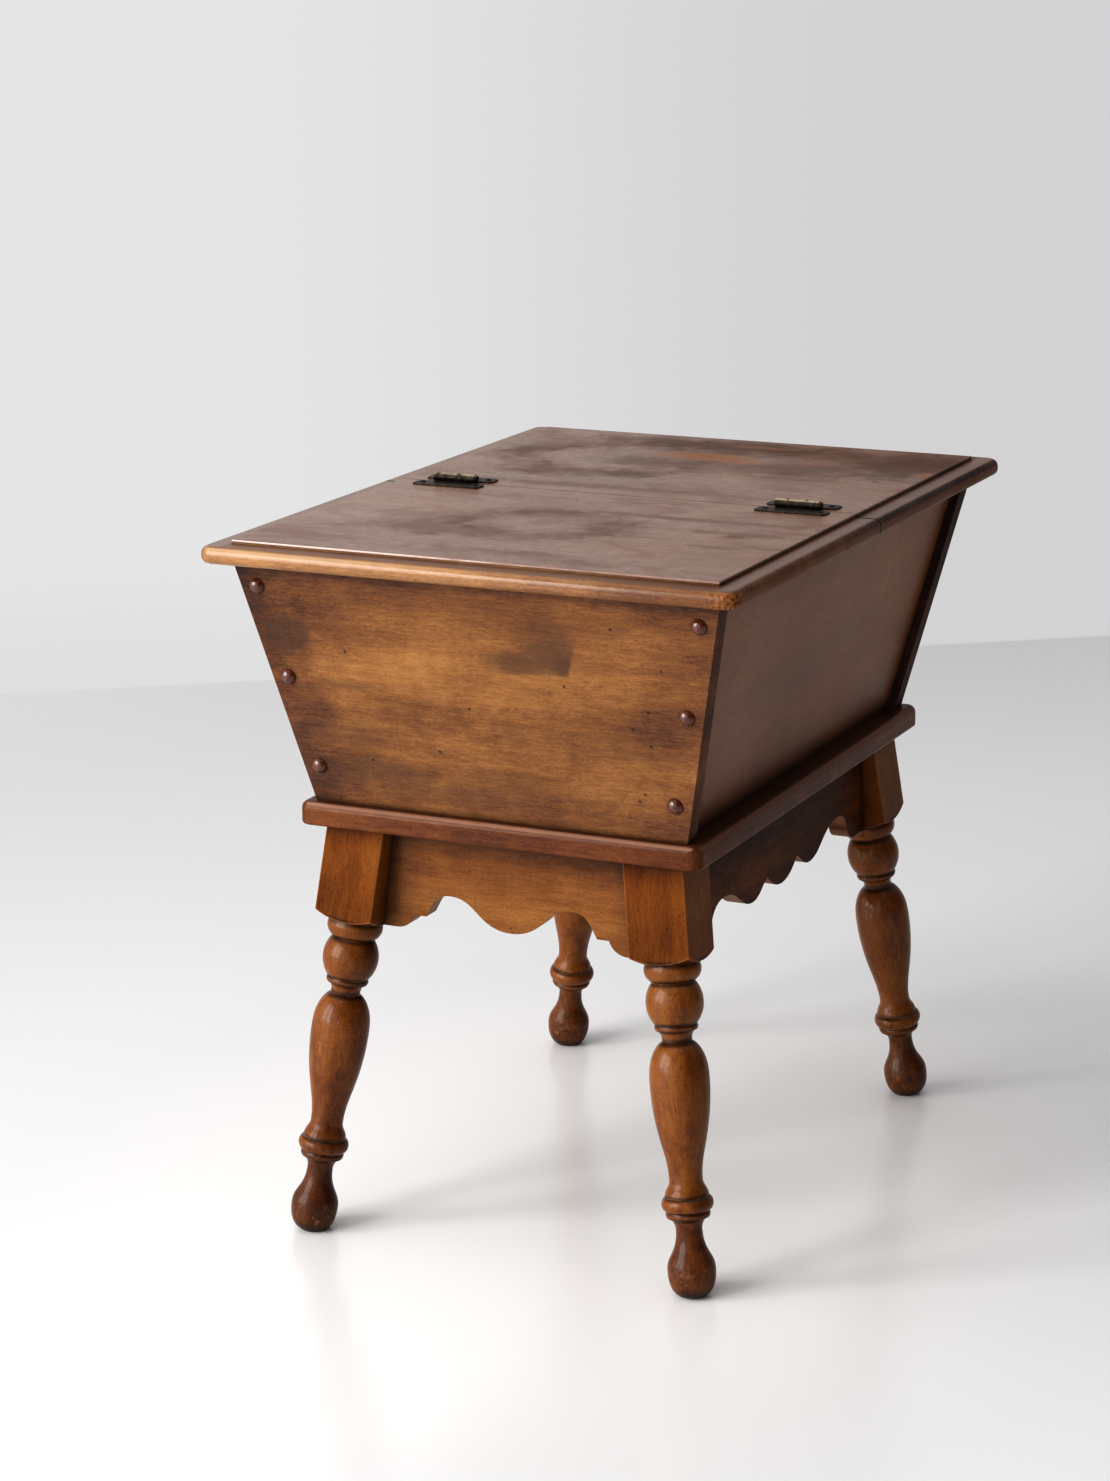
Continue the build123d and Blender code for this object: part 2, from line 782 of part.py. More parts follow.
# Top, round-nosed, with a raised field, cut in two at the seam
upper_nose = min(nose_upper_radius, top_corner_radius - field_edge_radius)
lower_nose = min(nose_lower_radius, border_thickness - upper_nose - field_edge_radius)
with BuildPart() as whole_top:
    with BuildSketch(Plane.XY.offset(z_rim)):
        RectangleRounded(top_width, top_length, top_corner_radius)
    extrude(amount=border_thickness)
    fillet(whole_top.faces().sort_by(Axis.Z)[-1].edges(), upper_nose)
    fillet(whole_top.faces().sort_by(Axis.Z)[0].edges(), lower_nose)
    with BuildSketch(Plane.XY.offset(z_rim)):
        Rectangle(top_width - 2 * border_width, top_length - 2 * border_width)
    extrude(amount=border_thickness + field_rise)
    fillet(whole_top.faces().sort_by(Axis.Z)[-1].edges(), field_edge_radius)
    with Locations(wing_points + [(x, -y, z) for x, y, z in wing_points]):
        Hole(hinge_screw_radius + joint_fit, depth=hinge_screw_length + joint_fit)

with BuildPart() as lid:
    add(whole_top.part)
    split(bisect_by=Plane.XZ.offset(seam_gap / 2), keep=Keep.TOP)
    with Locations(cleat_screw_planes):
        Hole(screw_radius + joint_fit, depth=cleat_screw_length + joint_fit)
save(lid, "lid")

with BuildPart() as top_rear:
    add(whole_top.part)
    split(bisect_by=Plane.XZ.offset(-seam_gap / 2), keep=Keep.BOTTOM)
save(top_rear, "top_rear")

# Hinges: each leaf's knuckles as (start, end) along the barrel, from its middle
outer_knuckle_start = middle_knuckle_length / 2 + knuckle_gap
lid_knuckles = [(-middle_knuckle_length / 2, middle_knuckle_length / 2)]
fixed_knuckles = [(outer_knuckle_start, barrel_length / 2), (-barrel_length / 2, -outer_knuckle_start)]


def hinge_leaf(middle, knuckles):
    """Leaf on the hinged side of a hinge that is centred at x = middle."""
    with BuildPart() as leaf:
        with BuildSketch(Plane.XY.offset(z_top)) as outline:
            with Locations((middle, -(leaf_width + wing_gap) / 2)):
                Rectangle(leaf_length, leaf_width - wing_gap)
            chamfer(outline.vertices(), leaf_corner_chamfer)
            with Locations((middle, -(wing_gap + leaf_corner_chamfer))):
                Rectangle(barrel_length, 2 * (wing_gap + leaf_corner_chamfer - barrel_radius - knuckle_clearance))
            for start, stop in knuckles:
                with Locations((middle + (start + stop) / 2, -(wing_gap + knuckle_root) / 2)):
                    Rectangle(stop - start, wing_gap - knuckle_root)
        extrude(amount=leaf_thickness)
        with Locations(wing_points):
            Hole(hinge_screw_radius + joint_fit, depth=leaf_thickness)
        for start, stop in knuckles:
            with BuildSketch(Plane.YZ.offset(middle + start)):
                with Locations((0, z_pin)):
                    Circle(barrel_radius)
            extrude(amount=stop - start)
        with BuildSketch(Plane.YZ.offset(middle)):
            with Locations((0, z_pin)):
                Circle(pin_radius + pin_fit)
        extrude(amount=barrel_length / 2, both=True, mode=Mode.SUBTRACT)
    return leaf


for side, name in ((-1, "left"), (1, "right")):
    save(hinge_leaf(side * hinge_x, lid_knuckles), f"{name}_hinge_lid_leaf")
    save_mirrored(hinge_leaf(side * hinge_x, fixed_knuckles), f"{name}_hinge_fixed_leaf", Plane.XZ)
    with BuildPart() as hinge_pin:
        with BuildSketch(Plane.YZ.offset(side * hinge_x - barrel_length / 2)):
            with Locations((0, z_pin)):
                Circle(pin_radius)
        extrude(amount=barrel_length)
        with BuildSketch(Plane.YZ.offset(side * hinge_x + barrel_length / 2)):
            with Locations((0, z_pin)):
                Circle(pin_head_radius)
        extrude(amount=pin_head_height)
        fillet(hinge_pin.faces().sort_by(Axis.X)[-1].edges(), pin_head_height / 2)
    save(hinge_pin, f"{name}_hinge_pin")
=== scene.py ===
import math

import bpy
from mathutils import Matrix, Vector

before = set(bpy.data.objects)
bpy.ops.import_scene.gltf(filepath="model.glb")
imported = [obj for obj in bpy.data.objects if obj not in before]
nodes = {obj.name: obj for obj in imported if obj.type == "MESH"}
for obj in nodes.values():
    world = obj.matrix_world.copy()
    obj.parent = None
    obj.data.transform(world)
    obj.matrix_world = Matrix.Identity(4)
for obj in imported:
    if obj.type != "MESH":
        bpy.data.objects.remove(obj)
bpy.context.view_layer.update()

toRight, toRear, toFront, toTop, toFloor = (1, 0, 0), (0, 1, 0), (0, -1, 0), (0, 0, 1), (0, 0, -1)
middle = 0.5  # of the range of every noise
samples = {"occlusion": 6, "bevel": 4}
print("frame loaded,", len(nodes), "parts")


class Wire:  # a socket that can be reckoned with
    def __init__(self, surface, socket):
        self.surface = surface
        self.socket = socket

    def sum(self, operation, first, second=None):
        return self.surface.add("ShaderNodeMath", {"operation": operation}, {0: first, 1: second})

    def __add__(self, other):
        return self.sum("ADD", self, other)

    def __sub__(self, other):
        return self.sum("SUBTRACT", self, other)

    def __rsub__(self, other):
        return self.sum("SUBTRACT", other, self)

    def __mul__(self, other):
        return self.sum("MULTIPLY", self, other)

    def __truediv__(self, other):
        return self.sum("DIVIDE", self, other)

    def __rtruediv__(self, other):
        return self.sum("DIVIDE", other, self)

    def __pow__(self, other):
        return self.sum("POWER", self, other)

    def __rpow__(self, other):
        return self.sum("POWER", other, self)

    def __abs__(self):
        return self.sum("ABSOLUTE", self)

    __radd__ = __add__
    __rmul__ = __mul__

    def most(self, other):
        return self.sum("MAXIMUM", self, other)


def frayed(value, noise, reach):  # moves a value to and fro with a noise
    return value + (noise - middle) * reach


def raised(least, more, mask):  # least where the mask is 0, and more with it
    return least + mask * more


def blend(start, noises, shares):  # frays one value with several noises
    for name, share in shares.items():
        start = frayed(start, noises[name], share)
    return start


def laid(noises, shares):  # the relief of several noises laid over one another
    height = None
    for name, share in shares.items():
        layer = noises[name] * share
        height = layer if height is None else height + layer
    return height


class Surface:  # one material and the nodes that paint it
    def __init__(self, name):
        self.material = bpy.data.materials.new(name)
        self.material.use_nodes = True
        self.tree = self.material.node_tree
        self.tree.nodes.clear()
        self.place = self.add("ShaderNodeTexCoord", out="Object")
        self.x = self.add("ShaderNodeSeparateXYZ", sockets={0: self.place})
        self.y, self.z = (Wire(self, socket) for socket in self.x.socket.node.outputs[1:])
        self.facing = self.add("ShaderNodeNewGeometry", out="Normal")

    def add(self, kind, settings=None, sockets=None, out=0):
        node = self.tree.nodes.new(kind)
        for key, value in (settings or {}).items():
            if key == "stops":
                ramp = node.color_ramp
                ramp.elements[0].position, ramp.elements[0].color = value[0]
                ramp.elements[1].position, ramp.elements[1].color = value[1]
                for position, colour in value[2:]:
                    ramp.elements.new(position).color = colour
            else:
                setattr(node, key, value)
        for key, value in (sockets or {}).items():
            if isinstance(value, Wire):
                self.tree.links.new(value.socket, node.inputs[key])
            elif value is not None:
                node.inputs[key].default_value = value
        return Wire(self, node.outputs[out]) if node.outputs else None

    def vector(self, operation, first, second=None, scale=None, out=0):
        sockets = {0: first, 1: second}
        if scale is not None:
            sockets["Scale"] = scale
        return self.add("ShaderNodeVectorMath", {"operation": operation}, sockets, out)

    def dot(self, first, second):
        return self.vector("DOT_PRODUCT", first, second, out="Value")

    def step(self, value, low, high):  # 0 at low, 1 at high, smooth between, and low may be the larger
        flip = low > high
        sockets = {
            "Value": value,
            "From Min": min(low, high),
            "From Max": max(low, high),
            "To Min": float(flip),
            "To Max": 1.0 - flip,
        }
        return self.add("ShaderNodeMapRange", {"interpolation_type": "SMOOTHSTEP"}, sockets)

    def fade(self, value, noise, fray, low, high):  # a step with a frayed edge
        return self.step(frayed(value, noise, fray), low, high)

    def noise(self, at, scale, detail=3.0, rough=0.5, warp=0.0):
        sockets = {"Vector": at, "Scale": scale, "Detail": detail, "Roughness": rough, "Distortion": warp}
        return self.add("ShaderNodeTexNoise", None, sockets)

    def mix(self, first, second, factor, blendType="MIX"):
        settings = {"data_type": "RGBA", "blend_type": blendType}
        return self.add("ShaderNodeMix", settings, {0: factor, 6: first, 7: second}, 2)

    def tint(self, first, second, factor):  # multiplies the first colour by the second
        return self.mix(first, second, factor, "MULTIPLY")

    def ramp(self, value, stops):
        return self.add("ShaderNodeValToRGB", {"stops": stops}, {0: value})

    def stretched(self, direction, squeeze, at=None):  # the place, squeezed along the grain
        at = at or self.place
        run = self.dot(at, direction)
        back = self.vector("SCALE", Vector(direction), scale=run * (squeeze - 1))
        return self.vector("ADD", at, back)

    def oval(self, u, v, centre, radii, warp=None, lift=0.0):  # 0 in its middle, 1 on its line
        across = (u - centre[0]) / radii[0]
        down = (v - centre[1]) / radii[1]
        far = (across * across + down * down) ** 0.5
        return far if warp is None else frayed(far, warp, lift)

    def spot(self, u, v, centre, radii, soft, warp=None, lift=0.0):  # 1 inside a soft oval
        return self.step(self.oval(u, v, centre, radii, warp, lift), 1 + soft / 2, 1 - soft / 2)

    def loop(self, u, v, centre, radii, width, warp, lift):  # 1 on a soft oval ring
        return self.step(abs(self.oval(u, v, centre, radii, warp, lift) - 1), width, 0.0)

    def occlusionShade(self, reach):  # 1 deep in a corner, where little light reaches; drives painted shade
        settings = {"samples": samples["occlusion"]}
        return 1 - self.add("ShaderNodeAmbientOcclusion", settings, {"Distance": reach}, "AO")

    def rounded(self, radius):  # the normal of an edge as if it were rounded
        return self.add("ShaderNodeBevel", {"samples": samples["bevel"]}, {"Radius": radius})

    def arris(self, radius, low=0.02, high=0.25):  # 1 on a sharp outer edge
        return self.step(1 - self.dot(self.rounded(radius), self.facing), low, high)

    def bump(self, height, strength, distance, soften=None):
        normal = self.rounded(soften) if soften else None
        sockets = {"Height": height, "Strength": strength, "Distance": distance, "Normal": normal}
        return self.add("ShaderNodeBump", None, sockets)

    def shader(
        self, colour, roughness, normal=None, metallic=0.0, gloss=0.3,
        coat=0.0, coatRoughness=0.2, coatIor=1.5,
    ):
        sockets = {
            "Base Color": colour,
            "Roughness": roughness,
            "Metallic": metallic,
            "Specular IOR Level": gloss,
            "Coat Weight": coat,
            "Coat Roughness": coatRoughness,
            "Coat IOR": coatIor,
            "Normal": normal,
        }
        return self.add("ShaderNodeBsdfPrincipled", None, sockets)

    def close(self, shader):
        self.add("ShaderNodeOutputMaterial", None, {"Surface": shader})
        return self.material

    def finish(self, *looks, **more):
        return self.close(self.shader(*looks, **more))


# Colours that several pieces share. The ramps run from deep stain to the palest wood.
stain = {
    "dark": (0.022, 0.008, 0.004, 1),
    "black": (0.006, 0.003, 0.002, 1),
    "worn": (0.46, 0.22, 0.085, 1),
    "case": [
        (0.0, (0.028, 0.010, 0.006, 1)),
        (1.0, (0.44, 0.230, 0.078, 1)),
        (0.25, (0.100, 0.035, 0.014, 1)),
        (0.50, (0.203, 0.083, 0.026, 1)),
        (0.75, (0.325, 0.153, 0.048, 1)),
    ],
    "turned": [
        (0.0, (0.024, 0.008, 0.003, 1)),
        (1.0, (0.41, 0.200, 0.060, 1)),
        (0.25, (0.078, 0.020, 0.004, 1)),
        (0.50, (0.188, 0.059, 0.009, 1)),
        (0.75, (0.295, 0.118, 0.025, 1)),
    ],
}

maple = {
    "shift": (1.7, 0.9, 1.3),  # how far one seed moves the figure
    # Layers: squeeze along the grain, scale, detail, roughness, warp
    "layers": {
        "boards": (0.09, 24.0, 3.0, 0.6, 0.5),
        "blotches": (0.45, 14.0, 4.0, 0.6, 0.4),
        "cloud": (None, 32.0, 5.0, 0.62, 0.5),
        "streaks": (0.05, 170.0, 4.0, 0.62),
        "fibres": (0.13, 620.0, 3.0, 0.7),
        "pores": (0.30, 1100.0, 2.0, 0.6),
    },
    "shares": {
        "boards": 0.55, "blotches": 0.80, "cloud": 0.30, "streaks": 0.32, "fibres": 0.56, "pores": 0.45,
    },
}

fleck = {"size": 0.20, "core": 0.4, "fade": 0.03}


def wood(s, direction, seed, boardScale=None, at=None):
    # Stained maple: its layers, the place they are laid at, and their blend as a tone between 0 and 1
    at = s.vector("ADD", at or s.place, Vector([seed * part for part in maple["shift"]]))
    grain = {"at": at}
    for name, (squeeze, scale, *rest) in maple["layers"].items():
        if name == "boards" and boardScale:
            scale = boardScale
        grain[name] = s.noise(s.stretched(direction, squeeze, at) if squeeze else at, scale, *rest)
    grain["tone"] = blend(middle, grain, maple["shares"])
    return grain


def flecked(s, colour, strength, scale, bareShare):
    # Sparse dark flecks of glaze, each in a cell of its own
    sockets = {"Vector": s.place, "Scale": scale}
    far = s.add("ShaderNodeTexVoronoi", None, sockets, "Distance")
    pick = s.add("ShaderNodeTexVoronoi", None, sockets, "Color")
    chosen = s.step(s.add("ShaderNodeSeparateColor", None, {0: pick}), bareShare, bareShare + fleck["fade"])
    dot = s.step(far, fleck["size"], fleck["size"] * fleck["core"])
    return s.mix(colour, stain["black"], dot * chosen * strength)


def strongest(s, u, v, spots, noise, mask, warp, softWarp=0.0):  # of a mask and several soft ovals
    for centre, radii, soft, strength in spots:
        spot = s.spot(u, v, centre, radii, soft, noise, warp + soft * softWarp)
        mask = (spot * strength).most(mask)
    return mask


def shadeCorners(s, colour, dark, reach, low, high, strength):  # painted shade: darkens corners, crevices and gaps where little light reaches
    return s.mix(colour, dark, s.step(s.occlusionShade(reach), low, high) * strength)


def rubbedEdges(s, colour, ragged, radius, low, high, strength):  # edges worn in patches
    return s.mix(colour, stain["worn"], s.arris(radius) * s.step(ragged, low, high) * strength)


def patched(s, colour, other, noise, low, high, strength):  # another colour where a noise is high
    return s.mix(colour, other, s.step(noise, low, high) * strength)


print("classes, stains and wood ready")

panelLook = {
    "glaze": (0.060, 0.027, 0.016, 1),
    "glazeStrength": 0.82,
    "ragged": (55.0, 5.0, 0.65, 0.4),  # noises: scale, detail, roughness, warp
    "haze": (7.0, 3.0, 0.6),
    "flecks": (0.55, 260.0, 0.90),  # strength, scale, share left bare
    "edges": (0.0010, 0.50, 0.60, 0.6),  # radius, patches from and to, strength
    "roughness": (0.30, 0.16),  # least, and more with the haze
    "rougher": {"pores": 0.05, "sideFace": 0.30},
    "relief": {"fibres": 0.5, "pores": 0.3, "streaks": 0.2},
    "bump": (0.10, 0.0004, 0.0006),  # strength, depth, radius of the softened edges
}

endLook = {
    # The board's outline: height and half width at its foot, and how fast it widens
    "foot": 0.342,
    "halfFoot": 0.1509,
    "cant": 0.2217,
    # Darker zones: fray, start, end. The top and underLid zones are painted shade under the lid's overhang,
    # over a darker stain
    "edge": (0.06, 0.060, 0.000),
    "left": (0.05, 0.07, -0.13),
    "top": (0.03, 0.478, 0.522),
    "bottom": (0.03, 0.420, 0.350),
    "right": (0.08, 0.02, 0.16),
    "rightRise": (0.04, 0.36, 0.48),
    "underLid": (0.008, 0.5185, 0.5275),
    "strengths": {"left": 0.42, "top": 0.50, "bottom": 0.30, "right": 0.24},
    # The edge zone is strongest toward the left
    "leftward": (0.10, -0.14),
    "edgeStrength": (0.05, 0.85),  # least, and more leftward
    # Two pale bands: centre, radii, softness
    "band": ((-0.010, 0.452), (0.150, 0.021), 0.7),
    "bandWarp": 0.5,
    "lowBand": ((0.020, 0.424), (0.110, 0.018), 1.2),
    "lowBandWarp": 0.9,
    "lowBandStrength": 0.55,
    "sideFace": (0.5, 0.8),
    # insideFace: painted shade on the inner faces, where they show past the side panels
    "insideFace": (-0.05, -0.12),
    "tone": {"all": 0.055, "band": 0.11, "shade": 0.30, "underLid": 0.20, "insideFace": 0.52},
    # Clouds of darker glaze: centre, radii, softness, strength
    "clouds": (
        ((-0.1565, 0.4759), (0.0185, 0.0145), 0.6, 0.72),
        ((-0.146, 0.420), (0.014, 0.016), 1.3, 0.30),
        ((-0.120, 0.399), (0.034, 0.012), 1.3, 0.45),
        ((-0.100, 0.370), (0.052, 0.013), 1.2, 0.55),
        ((-0.040, 0.361), (0.060, 0.010), 1.3, 0.40),
        ((0.012, 0.374), (0.026, 0.009), 1.2, 0.35),
        ((-0.105, 0.440), (0.030, 0.004), 1.2, 0.35),
        ((0.100, 0.408), (0.050, 0.006), 1.3, 0.20),
        ((0.060, 0.418), (0.060, 0.003), 1.4, 0.25),
    ),
    "cloudWarp": (0.4, 1.0),  # least, and more for softer clouds
    # Dots of glaze, their radii, softness, warp and strength
    "dots": (
        (0.1071, 0.5036), (0.1297, 0.4164), (0.1170, 0.4282), (-0.0407, 0.3938),
        (-0.0979, 0.3811), (-0.1088, 0.4662), (0.1432, 0.4753), (0.1300, 0.4427),
        (0.1168, 0.3720), (0.1213, 0.3780), (0.0662, 0.4562), (-0.0120, 0.4310),
    ),
    "dot": {"radii": (0.0013, 0.0011), "soft": 1.0, "warp": 0.8, "strength": 0.8},
    "corners": (0.009, 0.12, 0.60, 0.90),  # painted shade in the corners and round the pegs: reach, start, end, strength
    "gloss": 0.25,
}

# A smear of glaze on the front, crisp along its lower edge and its right edge
smudge = {
    "lower": {"slope": 0.0643, "fade": (0.003, 0.4586, 0.4614)},
    "right": {"slope": 0.3493, "fade": (0.003, -0.0903, -0.0937)},
    # Centre, radii, softness, strength
    "lobes": (
        ((0.0672, 0.4716), (0.010, 0.012), 1.0, 0.92),
        ((0.0593, 0.4778), (0.022, 0.016), 1.2, 0.82),
        ((0.0533, 0.4940), (0.018, 0.016), 1.3, 0.50),
        ((0.0347, 0.4692), (0.028, 0.009), 1.2, 0.80),
    ),
    "warp": 0.9,
}


def smudgeMask(s, ragged):
    mask = strongest(s, s.x, s.z, smudge["lobes"], ragged, 0.0, smudge["warp"])
    lower = s.fade(s.z - s.x * smudge["lower"]["slope"], ragged, *smudge["lower"]["fade"])
    right = s.fade(s.x - s.z * smudge["right"]["slope"], ragged, *smudge["right"]["fade"])
    return mask * lower * right


def endShade(s, cloud):
    look, strengths = endLook, endLook["strengths"]
    edge = (s.z - look["foot"]) * look["cant"] + look["halfFoot"] - abs(s.x)
    leftward = s.step(s.x, *look["leftward"])
    shade = s.fade(edge, cloud, *look["edge"]) * raised(*look["edgeStrength"], leftward)
    shade = shade + s.fade(s.x, cloud, *look["left"]) * strengths["left"]
    # painted shade under the lid's overhang, over a darker stain
    shade = shade.most(s.fade(s.z, cloud, *look["top"]) * strengths["top"])
    right = s.fade(s.x, cloud, *look["right"]) * s.fade(s.z, cloud, *look["rightRise"])
    shade = shade + right * strengths["right"]
    return shade.most(s.fade(s.z, cloud, *look["bottom"]) * strengths["bottom"])


def panelFinish(s, colour, grain, ragged, corners, gloss, sideFace=None):
    # painted shade in the corners
    colour = shadeCorners(s, colour, stain["dark"], *corners)
    colour = rubbedEdges(s, colour, ragged, *panelLook["edges"])
    haze = s.noise(grain["at"], *panelLook["haze"])
    roughness = raised(*panelLook["roughness"], haze) + grain["pores"] * panelLook["rougher"]["pores"]
    if sideFace:
        roughness = roughness + sideFace * panelLook["rougher"]["sideFace"]
    bumped = s.bump(laid(grain, panelLook["relief"]), *panelLook["bump"])
    return s.finish(colour, roughness, bumped, gloss=gloss)


def endMaterial(name, seed, sideDarker, isFront):
    s = Surface(name)
    look = endLook
    across = s.x if isFront else s.x * -1.0  # seen from outside
    grain = wood(s, toRight, seed)
    ragged = s.noise(grain["at"], *panelLook["ragged"])
    band = s.spot(s.x, s.z, *look["band"], grain["blotches"], look["bandWarp"])
    lowBand = s.spot(s.x, s.z, *look["lowBand"], grain["blotches"], look["lowBandWarp"])
    band = band.most(lowBand * look["lowBandStrength"])
    sideFace = s.step(abs(s.dot(s.facing, toRight)), *look["sideFace"])
    # painted shade on the inner faces
    insideFace = s.step(s.dot(s.facing, toRear) * s.y, *look["insideFace"])
    shares = look["tone"]
    tone = grain["tone"] + shares["all"] + band * shares["band"]
    tone = tone - endShade(s, grain["cloud"]) * shares["shade"]
    # painted shade in a band just under the lid, over a darker stain
    tone = tone - s.fade(s.z, ragged, *look["underLid"]) * shares["underLid"]
    tone = tone - (sideFace * sideDarker).most(insideFace * shares["insideFace"])
    glaze = smudgeMask(s, ragged) if isFront else 0.0
    glaze = strongest(s, across, s.z, look["clouds"], ragged, glaze, *look["cloudWarp"])
    colour = s.mix(s.ramp(tone, stain["case"]), panelLook["glaze"], glaze * panelLook["glazeStrength"])
    colour = flecked(s, colour, *panelLook["flecks"])
    dot = look["dot"]
    for centre in look["dots"]:
        mask = s.spot(across, s.z, centre, dot["radii"], dot["soft"], ragged, dot["warp"])
        colour = s.mix(colour, stain["black"], mask * dot["strength"])
    return panelFinish(s, colour, grain, ragged, look["corners"], look["gloss"], sideFace)


sideLook = {
    "tint": (1.0, 0.86, 0.80, 1),
    # Zones: fray, start, end. The low zone is painted shade toward the bottom, and haze a painted sheen
    # toward the upper rear
    "low": (0.03, 0.402, 0.338),
    "ends": (0.05, 0.17, 0.26),
    "haze": (0.12, -0.10, 0.24),
    "hazeMiddle": 0.45,  # of y and z together
    "hazeRise": (0.40, 0.47),
    "endStrength": 0.6,
    "tone": {"all": 0.49, "grain": 0.50, "shade": 0.12, "haze": 0.08},
    "glaze": (0.58, 0.78),
    "glazeStrength": 0.25,
    "corners": (0.028, 0.20, 0.75, 0.90),
    "gloss": 0.27,
}


def sideMaterial(name, seed):
    s = Surface(name)
    look, shares = sideLook, sideLook["tone"]
    grain = wood(s, toRear, seed)
    cloud = grain["cloud"]
    ragged = s.noise(grain["at"], *panelLook["ragged"])
    ends = s.fade(abs(s.y), cloud, *look["ends"])
    # painted shade toward the bottom
    shade = s.fade(s.z, cloud, *look["low"]).most(ends * look["endStrength"])
    # painted sheen toward the upper rear
    haze = s.fade(s.y + s.z - look["hazeMiddle"], cloud, *look["haze"]) * s.step(s.z, *look["hazeRise"])
    tone = frayed(shares["all"], grain["tone"], shares["grain"])
    tone = tone - shade * shares["shade"] + haze * shares["haze"]
    colour = s.tint(s.ramp(tone, stain["case"]), look["tint"], 1.0)
    glaze = s.step(ragged, *look["glaze"]) * look["glazeStrength"]
    colour = s.mix(colour, panelLook["glaze"], glaze * panelLook["glazeStrength"])
    colour = flecked(s, colour, *panelLook["flecks"])
    return panelFinish(s, colour, grain, ragged, look["corners"], look["gloss"])


topLook = {
    "umber": (0.120, 0.056, 0.034, 1),
    "brown": (0.205, 0.105, 0.062, 1),
    "pale": (0.290, 0.168, 0.110, 1),
    "stained": (0.078, 0.031, 0.015, 1),
    "worn": (0.34, 0.152, 0.068, 1),
    "rosy": (0.165, 0.066, 0.042, 1),
    "lip": (0.34, 0.145, 0.085, 1),
    "line": (0.72, 0.56, 0.53, 1),
    "seed": 3.1,
    # Noises: scale, detail, roughness, warp
    "ragged": (48.0, 5.0, 0.66, 0.5),
    "wide": (8.0, 5.0, 0.62, 0.5),
    "wideSqueeze": 0.45,
    "mottle": (150.0, 4.0, 0.7),
    "drawn": (34.0, 5.0, 0.65, 0.6),
    "haze": (6.0, 4.0, 0.6),
    "fieldRise": (0.5438, 0.5446),  # heights between which the raised field starts
    "flecks": (0.7, 260.0, 0.90),
    "seam": (0.0026, 0.0008),
    "seamHiddenOnField": 0.6,
    # Painted shade in the groove around the field, darkest deep in it
    "groove": {"reach": 0.006, "occlusionShade": (0.16, 0.55), "height": (0.5453, 0.5444), "strength": 0.75},
    "lipEdge": (0.0016, 0.01, 0.16),
    "lipPatches": (0.30, 0.50),
    "lipStrength": 0.7,
    # A painted highlight: a bright line along the front edge of the field, weaker to the right
    "lineFacing": (0.2, 0.6),
    "lineFront": (-0.262, -0.266),
    "lineHeight": (0.5444, 0.5452),
    "lineEnd": (0.3, -0.10, 0.08),
    "lineLoss": 0.8,
    "linePatches": (0.20, 0.42),
    "roughness": (0.32, 0.20),  # least, and more with the haze
    "rougherMarks": 0.20,
    "relief": {"fibres": 0.4, "pores": 0.3, "ragged": 0.4},
    "bump": (0.10, 0.0005, 0.0014),
    "lacquer": {"coatRoughness": 0.26, "gloss": 0.12},
}

